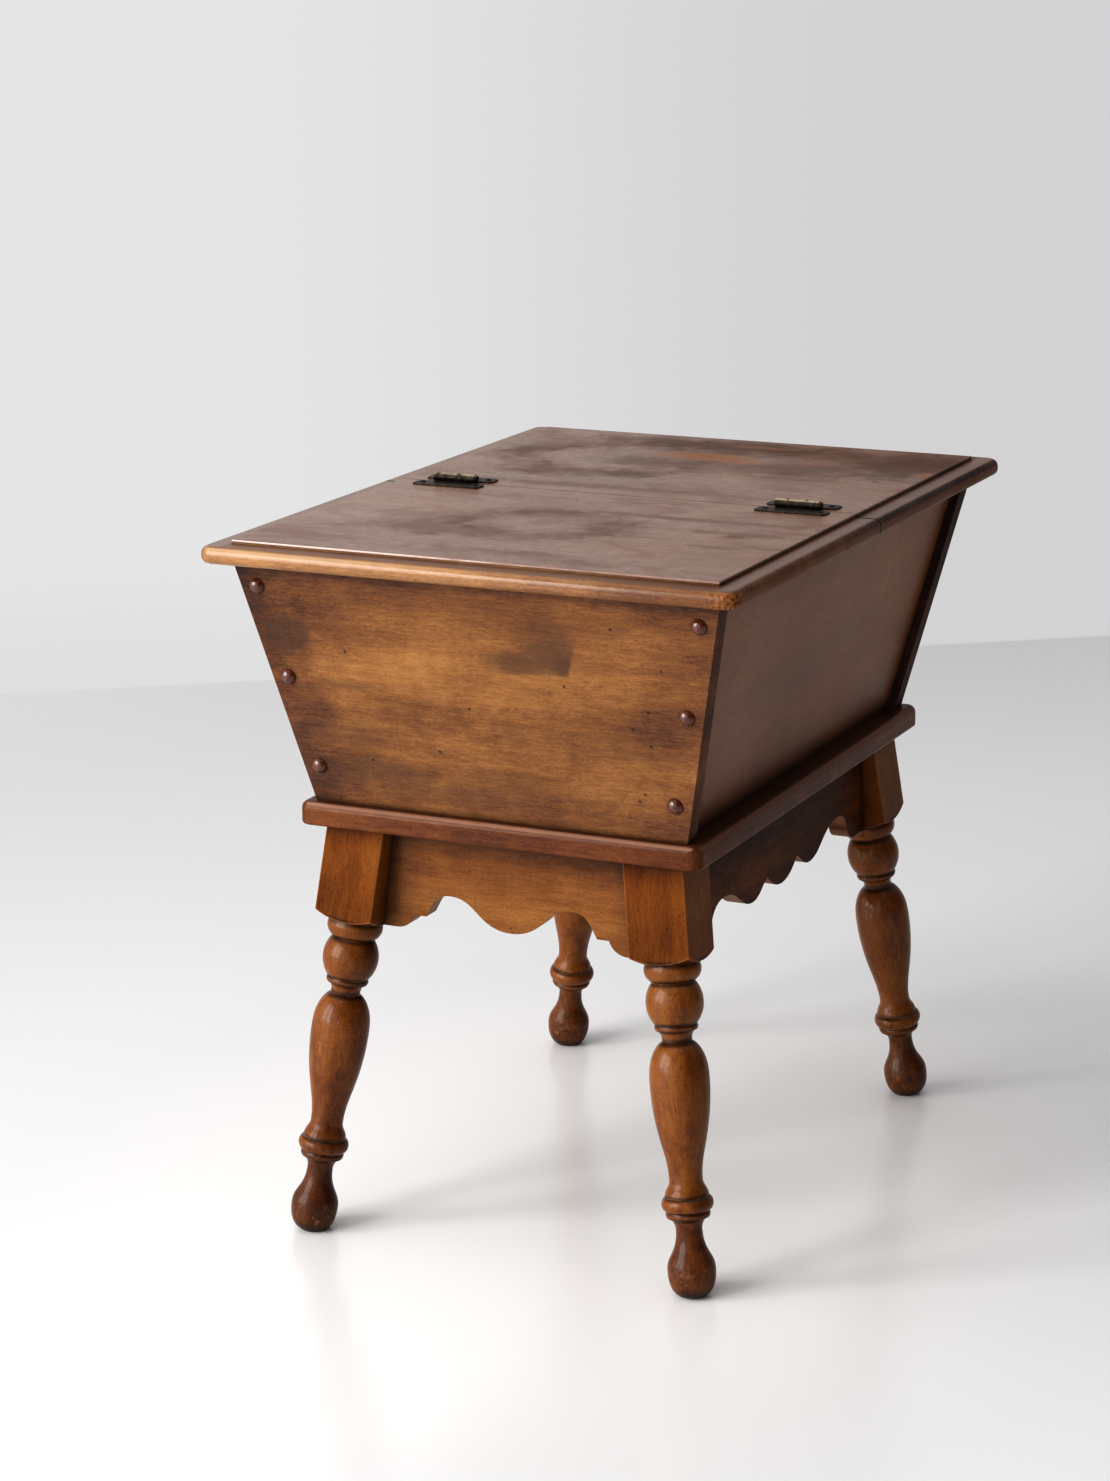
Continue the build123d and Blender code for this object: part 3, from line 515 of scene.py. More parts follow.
fieldLook = {
    "tone": 0.42,
    "shares": {"wide": 1.7, "streaks": 0.6, "fibres": 0.8, "ragged": 0.7, "pores": 0.7, "mottle": 1.3},
    # Paler toward the front and the left, darker again near the front edge: start, end, strength
    "frontward": ((0.25, -0.15), 0.22),
    "leftward": ((0.20, -0.20), 0.10),
    "frontEdge": ((-0.14, -0.27), 0.10),
    "blotches": ((0.52, 0.72), 0.32),
    # Rings left by pots: centre, radii, width, strength
    "rings": (
        ((-0.010, -0.130), (0.060, 0.047), 0.62, 0.72),
        ((-0.075, 0.148), (0.085, 0.068), 0.46, 0.78),
        ((0.075, 0.190), (0.080, 0.050), 0.58, 0.75),
    ),
    "ringWarp": 1.2,
    "ringCloud": (0.40, 0.60),
    "ringWhole": (0.55, 0.45),  # least, and more with the clouds
    # Stains: centre, radii, softness, strength
    "stains": (
        ((-0.080, -0.170), (0.050, 0.024), 1.5, 0.45),
        ((-0.072, -0.194), (0.012, 0.006), 1.0, 0.50),
        ((0.020, -0.236), (0.040, 0.010), 1.3, 0.40),
        ((0.070, -0.250), (0.040, 0.010), 1.3, 0.35),
        ((0.100, -0.070), (0.110, 0.007), 1.3, 0.45),
        ((0.140, -0.110), (0.040, 0.008), 1.2, 0.45),
        ((0.142, -0.120), (0.007, 0.005), 1.0, 0.60),
        ((0.150, -0.162), (0.026, 0.005), 1.2, 0.45),
        ((-0.030, 0.027), (0.120, 0.008), 1.4, 0.40),
        ((-0.030, 0.145), (0.040, 0.022), 1.2, 0.55),
        ((0.000, 0.236), (0.110, 0.024), 1.2, 0.90),
        ((0.080, 0.158), (0.050, 0.018), 1.2, 0.60),
        ((0.108, 0.118), (0.040, 0.010), 1.3, 0.50),
        ((0.100, 0.225), (0.060, 0.018), 1.2, 0.55),
        ((0.165, 0.205), (0.050, 0.055), 1.3, 0.90),
    ),
    "stainWarp": 2.0,
    "stainMottle": (0.45, 0.9),  # least, and more with the mottle
    # Spots rubbed through to bare wood: centre, radii, softness, strength
    "rubs": (
        ((-0.005, 0.184), (0.040, 0.016), 1.1, 1.00),
        ((0.022, 0.174), (0.026, 0.010), 1.1, 0.90),
        ((-0.040, 0.196), (0.020, 0.006), 1.1, 0.50),
        ((0.186, 0.172), (0.008, 0.009), 1.1, 0.80),
        ((0.020, 0.242), (0.030, 0.006), 1.1, 0.45),
        ((-0.139, -0.069), (0.012, 0.003), 1.1, 0.45),
        ((-0.070, -0.027), (0.008, 0.004), 1.1, 0.35),
        ((-0.139, -0.205), (0.006, 0.003), 1.1, 0.30),
    ),
    "rubWarp": 1.8,
    "rubMottle": (0.25, 0.9),
    "rosyNoise": (19.0, 5.0, 0.65, 0.6),
    "rosySqueeze": 0.5,
    "rosy": (0.48, 0.66),
    "rosyStrength": 0.75,
    # The polish is gone where the top is marked, rubbed or rosy, and at the right of the rear half
    "dulled": {"marks": 0.8, "rosy": 0.45},
    "rearWear": (0.3, 0.10, 0.20),
    "rightWear": (0.2, -0.10, 0.06),
    "polish": 0.45,
}

nosingLook = {
    "sheen": (0.62, 0.44, 0.28, 1),
    "belly": (0.21, 0.066, 0.016, 1),
    "bare": (0.40, 0.150, 0.035, 1),
    "bruised": (0.075, 0.020, 0.006, 1),
    # Along the sides it is browner and hazier than along the front: start, end
    "sideways": (0.2075, 0.2085),
    "flank": (0.1925, 0.1960),
    "farSide": (-0.06, 0.12),
    "pastMiddle": (-0.12, 0.04),
    "rightward": (0.06, 0.20),
    "leftEnd": ((-0.2035, -0.2105), (-0.25, -0.27)),  # in x and in y
    "corner": {"slope": 0.4, "front": (0.05, -0.22), "right": (-0.10, 0.10)},
    "tone": 0.30,
    "darker": {"farSide": 0.15, "pastMiddle": 0.09, "rightward": 0.27, "sideways": 0.24, "leftEnd": 0.25},
    "cornerLighter": 0.14,
    # A painted highlight on the crest at the left of the front
    "crestFacing": (0, -0.75, 0.66),
    "crest": (0.90, 0.99),
    "crestEnd": (0.05, -0.14),
    "crestStrength": 0.45,
    "bellySlope": (0.60, 0.20),
    "bellyStrength": 0.55,
    # Its flat upper border
    "upper": (0.90, 0.995),
    "upperStrength": (0.75, 0.2),  # along the front, and more along the sides
    "chip": ((0.200, -0.284), (0.012, 0.009), 0.8),
    "chipWarp": 1.2,
    "chipHeight": (0.5425, 0.5405),
    "chipStrength": 0.9,
    "chipNoise": (420.0, 3.0, 0.7),
    "chipSpeckle": (0.42, 0.60),
    "polish": {"front": 0.92, "upperLoss": 0.75, "rightLoss": 0.6, "flank": 0.52},
}


def fieldColour(s, grain, noises):
    # The worn field: its colour, and the marks and bare spots on it
    look = fieldLook
    ragged, wide, mottle = noises["ragged"], noises["wide"], noises["mottle"]
    worn = s.step(s.y, *look["frontward"][0]) * look["frontward"][1]
    worn = worn + s.step(s.x, *look["leftward"][0]) * look["leftward"][1]
    worn = worn - s.step(s.y, *look["frontEdge"][0]) * look["frontEdge"][1]
    stops = [(0.0, topLook["umber"]), (1.0, topLook["pale"]), (0.5, topLook["brown"])]
    field = s.ramp(blend(look["tone"], {**grain, **noises}, look["shares"]) + worn, stops)
    marks = s.step(wide, *look["blotches"][0]) * look["blotches"][1]
    drawn = s.noise(grain["at"], *topLook["drawn"])
    for centre, radii, width, strength in look["rings"]:
        ring = s.loop(s.x, s.y, centre, radii, width, drawn, look["ringWarp"])
        whole = raised(*look["ringWhole"], s.step(grain["cloud"], *look["ringCloud"]))
        marks = marks.most(ring * strength * whole)
    marks = strongest(s, s.x, s.y, look["stains"], ragged, marks, look["stainWarp"])
    rosyNoise = s.noise(s.stretched(toRight, look["rosySqueeze"], grain["at"]), *look["rosyNoise"])
    rosy = s.step(rosyNoise, *look["rosy"])
    rubs = strongest(s, s.x, s.y, look["rubs"], ragged, 0.0, look["rubWarp"])
    field = s.mix(field, topLook["rosy"], rosy * look["rosyStrength"])
    field = s.mix(field, topLook["stained"], marks * raised(*look["stainMottle"], mottle))
    field = s.mix(field, topLook["worn"], rubs * raised(*look["rubMottle"], mottle))
    rearWear = s.fade(s.y, wide, *look["rearWear"]) * s.fade(s.x, wide, *look["rightWear"])
    dull = (marks * look["dulled"]["marks"]).most(rubs).most(rearWear).most(rosy * look["dulled"]["rosy"])
    return field, marks, dull


def nosingColour(s, grain, ragged, sideways, rightward, upper, sloping):
    look, darker, corner = nosingLook, nosingLook["darker"], nosingLook["corner"]
    cornerMask = s.step(s.y + s.x * corner["slope"], *corner["front"]) * s.step(s.x, *corner["right"])
    leftEnd = s.step(s.x, *look["leftEnd"][0]) * s.step(s.y, *look["leftEnd"][1])
    level = grain["tone"] + look["tone"] - sideways * s.step(s.y, *look["farSide"]) * darker["farSide"]
    level = level - s.step(s.x, *look["pastMiddle"]) * darker["pastMiddle"] - rightward * darker["rightward"]
    level = level - sideways * darker["sideways"] + sideways * cornerMask * look["cornerLighter"]
    level = level - leftEnd * darker["leftEnd"]
    crest = s.step(s.dot(s.facing, look["crestFacing"]), *look["crest"])
    belly = sideways * s.step(sloping, *look["bellySlope"])
    golden = s.ramp(level, stain["case"])
    # painted highlight on the crest of the nosing
    golden = s.mix(golden, look["sheen"], crest * s.step(s.x, *look["crestEnd"]) * look["crestStrength"])
    golden = s.mix(golden, look["belly"], belly * look["bellyStrength"])
    nosing = s.mix(golden, topLook["umber"], upper * raised(*look["upperStrength"], sideways))
    chip = s.spot(s.x, s.y, *look["chip"], ragged, look["chipWarp"]) * s.step(s.z, *look["chipHeight"])
    speckle = s.step(s.noise(grain["at"], *look["chipNoise"]), *look["chipSpeckle"])
    return s.mix(nosing, s.mix(look["bare"], look["bruised"], speckle), chip * look["chipStrength"])


def topMaterial(name):
    s = Surface(name)
    look = topLook
    grain = wood(s, toRight, look["seed"])
    at = grain["at"]
    noises = {
        "ragged": s.noise(at, *look["ragged"]),
        "wide": s.noise(s.stretched(toRight, look["wideSqueeze"], at), *look["wide"]),
        "mottle": s.noise(at, *look["mottle"]),
    }
    ragged = noises["ragged"]
    field, marks, dull = fieldColour(s, grain, noises)
    sloping = s.dot(s.facing, toTop)
    upper = s.step(sloping, *nosingLook["upper"])
    sideways = s.step(abs(s.x), *nosingLook["sideways"])
    rightward = s.step(s.x, *nosingLook["rightward"])
    nosing = nosingColour(s, grain, ragged, sideways, rightward, upper, sloping)
    onField = s.step(s.z, *look["fieldRise"])
    colour = flecked(s, s.mix(nosing, field, onField), *look["flecks"])

    groove = look["groove"]
    # painted shade deep in the groove round the field
    deep = s.step(s.occlusionShade(groove["reach"]), *groove["occlusionShade"]) * s.step(s.z, *groove["height"])
    seam = s.step(abs(s.y), *look["seam"]) * (1 - onField * look["seamHiddenOnField"])
    colour = s.mix(colour, stain["dark"], (deep * groove["strength"]).most(seam))
    lip = s.arris(*look["lipEdge"]) * onField
    colour = s.mix(colour, look["lip"], lip * s.step(ragged, *look["lipPatches"]) * look["lipStrength"])
    # painted highlight along the front edge of the field
    line = s.step(s.dot(s.facing, toFront), *look["lineFacing"]) * s.step(s.y, *look["lineFront"])
    lost = s.fade(s.x, ragged, *look["lineEnd"]) * look["lineLoss"]
    line = line * s.step(s.z, *look["lineHeight"]) * (1 - lost)
    colour = s.mix(colour, look["line"], line * s.step(ragged, *look["linePatches"]))

    haze = s.noise(at, *look["haze"])
    roughness = raised(*look["roughness"], haze) + marks * look["rougherMarks"]
    gleam = nosingLook["polish"]
    border = 1 - onField
    frontPolish = border * (1 - sideways) * (1 - upper * gleam["upperLoss"]) * gleam["front"]
    frontPolish = frontPolish * (1 - rightward * gleam["rightLoss"])
    flank = s.step(abs(s.x), *nosingLook["flank"])
    polish = onField * (1 - dull) * fieldLook["polish"] + frontPolish
    polish = polish.most(lip).most(border * flank * upper * gleam["flank"]) * (1 - deep) * (1 - seam)
    bumped = s.bump(laid({**grain, **noises}, look["relief"]), *look["bump"])
    return s.finish(colour, roughness, bumped, coat=polish, **look["lacquer"])


baseLook = {
    "tint": (1.0, 0.80, 0.66, 1),
    "tintStrength": 0.8,
    "crest": (0.52, 0.30, 0.20, 1),
    "ridge": (0.30, 0.130, 0.070, 1),
    # corner: the colour of the painted shade in the corners
    "corner": (0.045, 0.014, 0.006, 1),
    "endGrain": (0.2350, 0.2362),  # where the front and rear mouldings start
    "seeds": (5.3, 5.9),
    "ragged": (50.0, 5.0, 0.62, 0.5),
    "tone": {"all": 0.28, "grain": 0.80, "right": 0.03},
    "right": (0.09, 0.163),
    "patches": (0.60, 0.78, 0.5),  # start, end, strength
    "edges": (0.0015, 0.40, 0.60, 0.45),
    # Painted highlights on the round of the moulding, along the front and along the right
    "crestFacing": (0, -0.64, 0.77),
    "crestStep": (0.92, 0.995),
    "crestStrength": 0.45,
    "ridgeFacing": (0.80, 0, 0.60),
    "ridgeStep": (0.86, 0.98),
    "ridgeStrength": 0.5,
    "flecks": (0.8, 230.0, 0.88),
    "corners": (0.024, 0.18, 0.75, 0.82),
    "roughness": (0.28, 0.12),
    "relief": {"fibres": 0.5, "pores": 0.5},
    "bump": (0.10, 0.0004, 0.0006),
    "coat": (0.08, 0.10),  # least, and more on the mouldings
    "crestCoat": 0.9,
    "lacquer": {"coatRoughness": 0.15, "gloss": 0.06},
}


def baseMaterial(name):
    s = Surface(name)
    look = baseLook
    moulding = s.step(abs(s.y), *look["endGrain"])
    along, across = wood(s, toRear, look["seeds"][0]), wood(s, toRight, look["seeds"][1])
    tone = along["tone"] * (1 - moulding) + across["tone"] * moulding
    ragged = s.noise(along["at"], *look["ragged"])
    level = frayed(look["tone"]["all"], tone, look["tone"]["grain"])
    colour = s.ramp(level - s.step(s.x, *look["right"]) * look["tone"]["right"], stain["case"])
    colour = s.tint(colour, look["tint"], look["tintStrength"])
    colour = patched(s, colour, stain["dark"], ragged, *look["patches"])
    colour = rubbedEdges(s, colour, ragged, *look["edges"])
    # painted highlight along the front round of the moulding
    crest = s.step(s.dot(s.facing, look["crestFacing"]), *look["crestStep"])
    colour = s.mix(colour, look["crest"], crest * look["crestStrength"])
    # painted highlight along the right round of the moulding
    ridge = s.step(s.dot(s.facing, look["ridgeFacing"]), *look["ridgeStep"])
    colour = s.mix(colour, look["ridge"], ridge * look["ridgeStrength"])
    colour = flecked(s, colour, *look["flecks"])
    # painted shade in the corners
    colour = shadeCorners(s, colour, look["corner"], *look["corners"])
    roughness = raised(*look["roughness"], ragged)
    bumped = s.bump(laid(along, look["relief"]), *look["bump"])
    coat = raised(*look["coat"], moulding).most(crest * look["crestCoat"])
    return s.finish(colour, roughness, bumped, coat=coat, **look["lacquer"])


apronLook = {
    "sawn": (0.30, 0.15, 0.09, 1),  # the sawn lower edge
    "ragged": (40.0, 5.0, 0.64, 0.5),
    # Darker zones: fray, start, end. The high zone is painted shade under the base board; low only darkens
    # toward the bottom
    "high": (0.02, 0.268, 0.326),
    "low": (0.03, 0.275, 0.248),
    "tone": {"grain": 0.75, "high": 0.27, "low": 0.14},
    "sawnFacing": (0.25, 0.6),
    "sawnStrength": 0.6,
    "patches": (0.62, 0.78, 0.55),
    "flecks": (0.9, 240.0, 0.84),
    "corners": (0.030, 0.12, 0.60, 0.92),
    "edges": (0.001, 0.46, 0.6, 0.35),
    "roughness": (0.30, 0.16),
    "relief": {"fibres": 0.5, "pores": 0.5},
    "bump": (0.10, 0.0004, 0.0006),
    "ends": {"seed": 8.2, "tone": 0.58, "gloss": 0.14, "golden": 0.6},
    # The side aprons are a darker, less golden copy: painted shade, as they stand on the shaded side
    "sides": {"seed": 9.4, "tone": 0.24, "gloss": 0.03, "golden": 0.0},
}


def apronMaterial(name, direction, own):
    s = Surface(name)
    look, shares = apronLook, apronLook["tone"]
    grain = wood(s, direction, own["seed"])
    ragged = s.noise(grain["at"], *look["ragged"])
    level = frayed(own["tone"], grain["tone"], shares["grain"])
    # painted shade under the base board
    level = level - s.fade(s.z, ragged, *look["high"]) * shares["high"]
    level = level - s.fade(s.z, ragged, *look["low"]) * shares["low"]
    colour = s.mix(s.ramp(level, stain["turned"]), s.ramp(level, stain["case"]), own["golden"])
    sawn = s.step(s.dot(s.facing, toFloor), *look["sawnFacing"])
    colour = s.mix(colour, look["sawn"], sawn * look["sawnStrength"])
    colour = patched(s, colour, stain["dark"], ragged, *look["patches"])
    colour = flecked(s, colour, *look["flecks"])
    # painted shade in the corners, beside the blocks and under the base
    colour = shadeCorners(s, colour, stain["dark"], *look["corners"])
    colour = rubbedEdges(s, colour, ragged, *look["edges"])
    bumped = s.bump(laid(grain, look["relief"]), *look["bump"])
    return s.finish(colour, raised(*look["roughness"], ragged), bumped, gloss=own["gloss"])


legLook = {
    # The foot of the leg that stands at +x and +y, and the way its axis rises
    "foot": (0.1602, 0.23706, 0.0),
    "axis": Vector((-math.tan(math.radians(6.9)), -math.tan(math.radians(6.7)), 1)).normalized(),
    "footTint": (0.085, 0.032, 0.014, 1),
    "scuffed": (0.30, 0.115, 0.050, 1),
    "worn": (0.50, 0.21, 0.075, 1),
    "legShift": (3.1, 5.7, 0),  # gives each leg its own figure
    "seed": 7.7,
    "boardScale": 55.0,
    # Noises: scale, detail, roughness, warp
    "ragged": (70.0, 5.0, 0.65, 0.4),
    "grime": (44.0, 5.0, 0.66),
    "grimeSqueeze": 0.50,
    "scuffs": (130.0, 4.0, 0.7),
    "blots": (95.0, 4.0, 0.7),
    "dashes": (480.0, 3.0, 0.6),
    "dashSqueeze": 0.20,
    "turningLines": 900.0,
    "turningNoise": (1.0, 3.0, 0.6),
    # Zones up the leg: start, end
    "turned": (0.2515, 0.2490),
    "ankle": (0.014, 0.063, 0.051),
    "sole": (0.006, 0.010, 0.001),
    # underBase: painted shade just under the base board
    "underBase": (0.02, 0.300, 0.326),
    "blockFoot": (0.02, 0.300, 0.262),
    # rightFace: painted light, the blocks' right faces lighter
    "rightFace": (0.6, 0.9),
    "grimeStep": (0.46, 0.70),
    "tone": {
        "all": 0.49,
        "lines": 0.36,
        "grain": (0.50, 0.12),  # on the block, and more where it is turned
        "turned": 0.01,
        "foot": 0.16,
        "grime": (0.08, 0.12),
        "blockFoot": 0.10,
        "rightFace": 0.08,
        "block": 0.015,
        "underBase": 0.14,
    },
    # Grooves drawn darker: height up the leg, half width
    "grooves": (
        (0.0585, 0.0022), (0.0637, 0.0016), (0.0752, 0.0018), (0.1905, 0.0030),
        (0.1990, 0.0014), (0.2037, 0.0022), (0.2350, 0.0026), (0.2500, 0.0030),
    ),
    "groove": {"fray": 0.001, "outer": 1.4, "inner": 0.3, "strength": 0.85},
    "footStrength": 0.28,
    "scuffStep": (0.55, 0.64),
    "scuffHeight": (0.032, 0.016),
    "scuffStrength": 0.55,
    "blotStep": (0.50, 0.66),
    "blotStrength": 0.52,
    "soleStrength": 0.85,
    "dashStep": (0.61, 0.72, 0.5),
    "flecks": (0.9, 330.0, 0.72),
    "corners": (0.009, 0.18, 0.70, 0.9),
    "edges": (0.0018, 0.01, 0.12),
    "turnedWear": ((0.42, 0.60), 0.5),
    "blockWear": ((0.30, 0.50), 0.8),
    "roughness": (0.285, 0.14),
    "relief": {"fibres": 0.4, "pores": 0.3, "lines": 0.5},
    "bump": (0.10, 0.0004, 0.0005),
    "coat": 0.40,
    "footCoatLoss": 0.2,
    "lacquer": {"coatRoughness": 0.20, "gloss": 0.05},
}


def legMaterial(name):
    s = Surface(name)
    look, shares = legLook, legLook["tone"]
    quarter = s.vector("ABSOLUTE", s.place)  # the four legs laid on one another
    up = s.dot(s.vector("SUBTRACT", quarter, look["foot"]), look["axis"])
    signs = s.vector("SIGN", s.place)
    own = s.vector("ADD", quarter, s.vector("MULTIPLY", signs, look["legShift"]))
    grain = wood(s, look["axis"], look["seed"], look["boardScale"], own)
    at, cloud = grain["at"], grain["cloud"]
    ragged = s.noise(at, *look["ragged"])
    smears = s.noise(s.stretched(look["axis"], look["grimeSqueeze"], at), *look["grime"])
    grime = s.step(smears, *look["grimeStep"])
    turned = s.step(up, *look["turned"])
    block = 1 - turned
    foot = s.fade(up, cloud, *look["ankle"])
    height = s.add("ShaderNodeCombineXYZ", None, {2: up})
    lines = s.noise(s.vector("SCALE", height, scale=look["turningLines"]), *look["turningNoise"])

    tone = shares["all"] + (lines - middle) * turned * shares["lines"]
    tone = frayed(tone, grain["tone"], raised(*shares["grain"], turned))
    tone = tone + turned * shares["turned"] - foot * shares["foot"]
    tone = tone - grime * raised(*shares["grime"], turned)
    tone = tone - s.fade(up, cloud, *look["blockFoot"]) * block * shares["blockFoot"]
    # painted light on the blocks' right faces
    tone = tone + s.step(s.dot(s.facing, toRight), *look["rightFace"]) * block * shares["rightFace"]
    # painted shade just under the base board
    tone = tone - block * shares["block"] - s.fade(s.z, cloud, *look["underBase"]) * shares["underBase"]
    colour = s.ramp(tone, stain["turned"])

    groove = look["groove"]
    for rise, width in look["grooves"]:
        far = abs(frayed(up - rise, cloud, groove["fray"]))
        line = s.step(far, width * groove["outer"], width * groove["inner"])
        colour = s.mix(colour, stain["dark"], line * groove["strength"])
    colour = s.mix(colour, look["footTint"], foot * look["footStrength"])
    scuffs = s.step(s.noise(own, *look["scuffs"]), *look["scuffStep"]) * s.step(up, *look["scuffHeight"])
    colour = s.mix(colour, look["scuffed"], scuffs * look["scuffStrength"])
    blots = s.step(s.noise(own, *look["blots"]), *look["blotStep"]) * foot
    colour = s.mix(colour, stain["dark"], blots * look["blotStrength"])
    colour = s.mix(colour, stain["dark"], s.fade(up, cloud, *look["sole"]) * look["soleStrength"])
    dashes = s.noise(s.stretched(look["axis"], look["dashSqueeze"], at), *look["dashes"])
    colour = patched(s, colour, stain["dark"], dashes, *look["dashStep"])
    colour = flecked(s, colour, *look["flecks"])
    # painted shade in the corners
    colour = shadeCorners(s, colour, stain["dark"], *look["corners"])
    wear = s.step(ragged, *look["turnedWear"][0]) * look["turnedWear"][1] * turned
    wear = wear + s.step(ragged, *look["blockWear"][0]) * look["blockWear"][1] * block
    colour = s.mix(colour, look["worn"], s.arris(*look["edges"]) * wear)

    bumped = s.bump(laid({**grain, "lines": lines * turned}, look["relief"]), *look["bump"])
    coat = turned * look["coat"] * (1 - foot * look["footCoatLoss"])
    return s.finish(colour, raised(*look["roughness"], ragged), bumped, coat=coat, **look["lacquer"])


pegLook = {
    "dark": (0.060, 0.013, 0.005, 1),
    "light": (0.15, 0.034, 0.009, 1),
    "grain": (420.0, 3.0, 0.6),
    "lightStep": (0.30, 0.75),
    "corners": (0.005, 0.15, 0.6, 0.85),
    "roughness": (0.16, 0.06),
    "bump": (0.015, 0.0002, 0.0006),
    "lacquer": {"gloss": 0.05, "coat": 0.95, "coatRoughness": 0.03, "coatIor": 1.65},
}


def pegMaterial(name):
    s = Surface(name)
    look = pegLook
    grain = s.noise(s.place, *look["grain"])
    colour = s.mix(look["dark"], look["light"], s.step(grain, *look["lightStep"]))
    # painted shade where the peg meets the panel
    colour = shadeCorners(s, colour, stain["black"], *look["corners"])
    bumped = s.bump(grain, *look["bump"])
    return s.finish(colour, raised(*look["roughness"], grain), bumped, **look["lacquer"])


pineLook = {
    "light": (0.50, 0.31, 0.15, 1),
    "dark": (0.36, 0.20, 0.09, 1),
    "growth": (160.0, 3.0, 0.5, 0.3),
    "squeeze": 0.05,
    "fleck": (900.0, 2.0),
    "darkStep": (0.42, 0.62),
    "corners": (0.006, 0.3, 0.9, 0.5),
    "roughness": (0.62, 0.2),
    "relief": {"growth": 0.6, "fleck": 0.4},
    "bump": (0.2, 0.0004),
}


def pineMaterial(name):
    s = Surface(name)
    look = pineLook
    growth = s.noise(s.stretched(toRear, look["squeeze"]), *look["growth"])
    speck = s.noise(s.place, *look["fleck"])
    colour = s.mix(look["light"], look["dark"], s.step(growth, *look["darkStep"]))
    # painted shade in the corners
    colour = shadeCorners(s, colour, stain["dark"], *look["corners"])
    bumped = s.bump(laid({"growth": growth, "fleck": speck}, look["relief"]), *look["bump"])
    return s.finish(colour, raised(*look["roughness"], speck), bumped)


brassLook = {
    "dark": (0.012, 0.009, 0.007, 1),
    "tarnished": (0.050, 0.036, 0.022, 1),
    "bright": (0.54, 0.43, 0.29, 1),
    "edge": (0.20, 0.15, 0.10, 1),
    "tarnish": (260.0, 4.0, 0.65),
    "fine": (1500.0, 2.0),
    "tarnishStep": (0.4, 0.7),
    # The upper side of the barrels is painted bright: partly rubbed brass, partly a painted highlight
    "barrelTop": (0.5517, 0.5531),
    "rubbedPatches": (0.30, 0.50),
    "brightStrength": 0.8,
    "edgeRadius": 0.0004,
    "edgeStrength": 0.5,
    "corners": (0.003, 0.3, 0.8, 0.8),
    "roughness": (0.42, 0.12),
    "smootherRubs": 0.10,
    "relief": {"tarnish": 0.6, "fine": 0.4},
    "bump": (0.2, 0.0002, 0.0003),
    "metallic": 0.8,
}


def brassMaterial(name):
    s = Surface(name)
    look = brassLook
    tarnish = s.noise(s.place, *look["tarnish"])
    fine = s.noise(s.place, *look["fine"])
    # bright upper side of the barrels: rubbed brass and a painted highlight
    rubbedAndLit = s.step(s.z, *look["barrelTop"]) * s.step(tarnish, *look["rubbedPatches"])
    colour = s.mix(look["dark"], look["tarnished"], s.step(tarnish, *look["tarnishStep"]))
    colour = s.mix(colour, look["bright"], rubbedAndLit * look["brightStrength"])
    colour = s.mix(colour, look["edge"], s.arris(look["edgeRadius"]) * look["edgeStrength"])
    # painted shade in the corners
    colour = shadeCorners(s, colour, stain["black"], *look["corners"])
    roughness = raised(*look["roughness"], fine) - rubbedAndLit * look["smootherRubs"]
    bumped = s.bump(laid({"tarnish": tarnish, "fine": fine}, look["relief"]), *look["bump"])
    return s.finish(colour, roughness, bumped, metallic=look["metallic"])


steelLook = {
    "dark": (0.30, 0.29, 0.27, 1),
    "light": (0.48, 0.47, 0.45, 1),
    "fine": (1200.0, 3.0),
    "roughness": (0.34, 0.2),
    "bump": (0.1, 0.0002),
    "metallic": 1.0,
}


def steelMaterial(name):
    s = Surface(name)
    look = steelLook
    fine = s.noise(s.place, *look["fine"])
    colour = s.mix(look["dark"], look["light"], fine)
    bumped = s.bump(fine, *look["bump"])
    return s.finish(colour, raised(*look["roughness"], fine), bumped, metallic=look["metallic"])


def paint(material, *names):
    for name in names:
        data = nodes[name].data
        data.materials.clear()
        data.materials.append(material)


paint(topMaterial("top wood"), "lid", "top_rear")
paint(endMaterial("end panel wood front", seed=0.0, sideDarker=0.15, isFront=True), "end_panel_front")
paint(endMaterial("end panel wood rear", seed=4.4, sideDarker=0.50, isFront=False), "end_panel_rear")
paint(sideMaterial("side panel wood left", seed=2.2), "side_panel_left")
paint(sideMaterial("side panel wood right", seed=6.1), "side_panel_right")
paint(baseMaterial("base wood"), "base_board")
paint(apronMaterial("apron wood ends", toRight, apronLook["ends"]), "apron_front", "apron_rear")
paint(apronMaterial("apron wood sides", toRear, apronLook["sides"]), "apron_left", "apron_right")
paint(legMaterial("leg wood"), "leg_front_left", "leg_front_right", "leg_rear_left", "leg_rear_right")
paint(pegMaterial("peg wood"), "pegs_front", "pegs_rear")
paint(pineMaterial("bare pine"), "glue_blocks", "top_glue_blocks", "lid_cleat_left", "lid_cleat_right")
paint(brassMaterial("antiqued brass"), *[name for name in nodes if "_hinge_" in name])
plainScrews = ("end_screws_front", "end_screws_rear", "box_screws", "leg_screws", "cleat_screws")
paint(steelMaterial("plain steel"), *plainScrews)
print("materials on")

floorLook = {
    "halfSize": 90.0,
    "light": (0.825, 0.832, 0.840, 1),
    # dull: painted shade, the floor fading darker along dullSide as the light falls off
    "dull": (0.625, 0.627, 0.634, 1),
    "dullSide": (-1.398, 0.214, 0.0),
    "dullStep": (-0.4, 1.9),
    "scuff": (2.4, 4.0, 0.6),
    "scuffTint": (0.97, 0.97, 0.97, 1),
    # Painted light: paler under the chest, lightening its shadow
    "below": (0.99, 0.985, 0.98, 1),
    "belowSpot": ((0.02, -0.04), (0.30, 0.40), 1.3),
    "belowStrength": 0.85,
    "roughness": (0.19, 0.07),
    "gloss": 0.35,
}

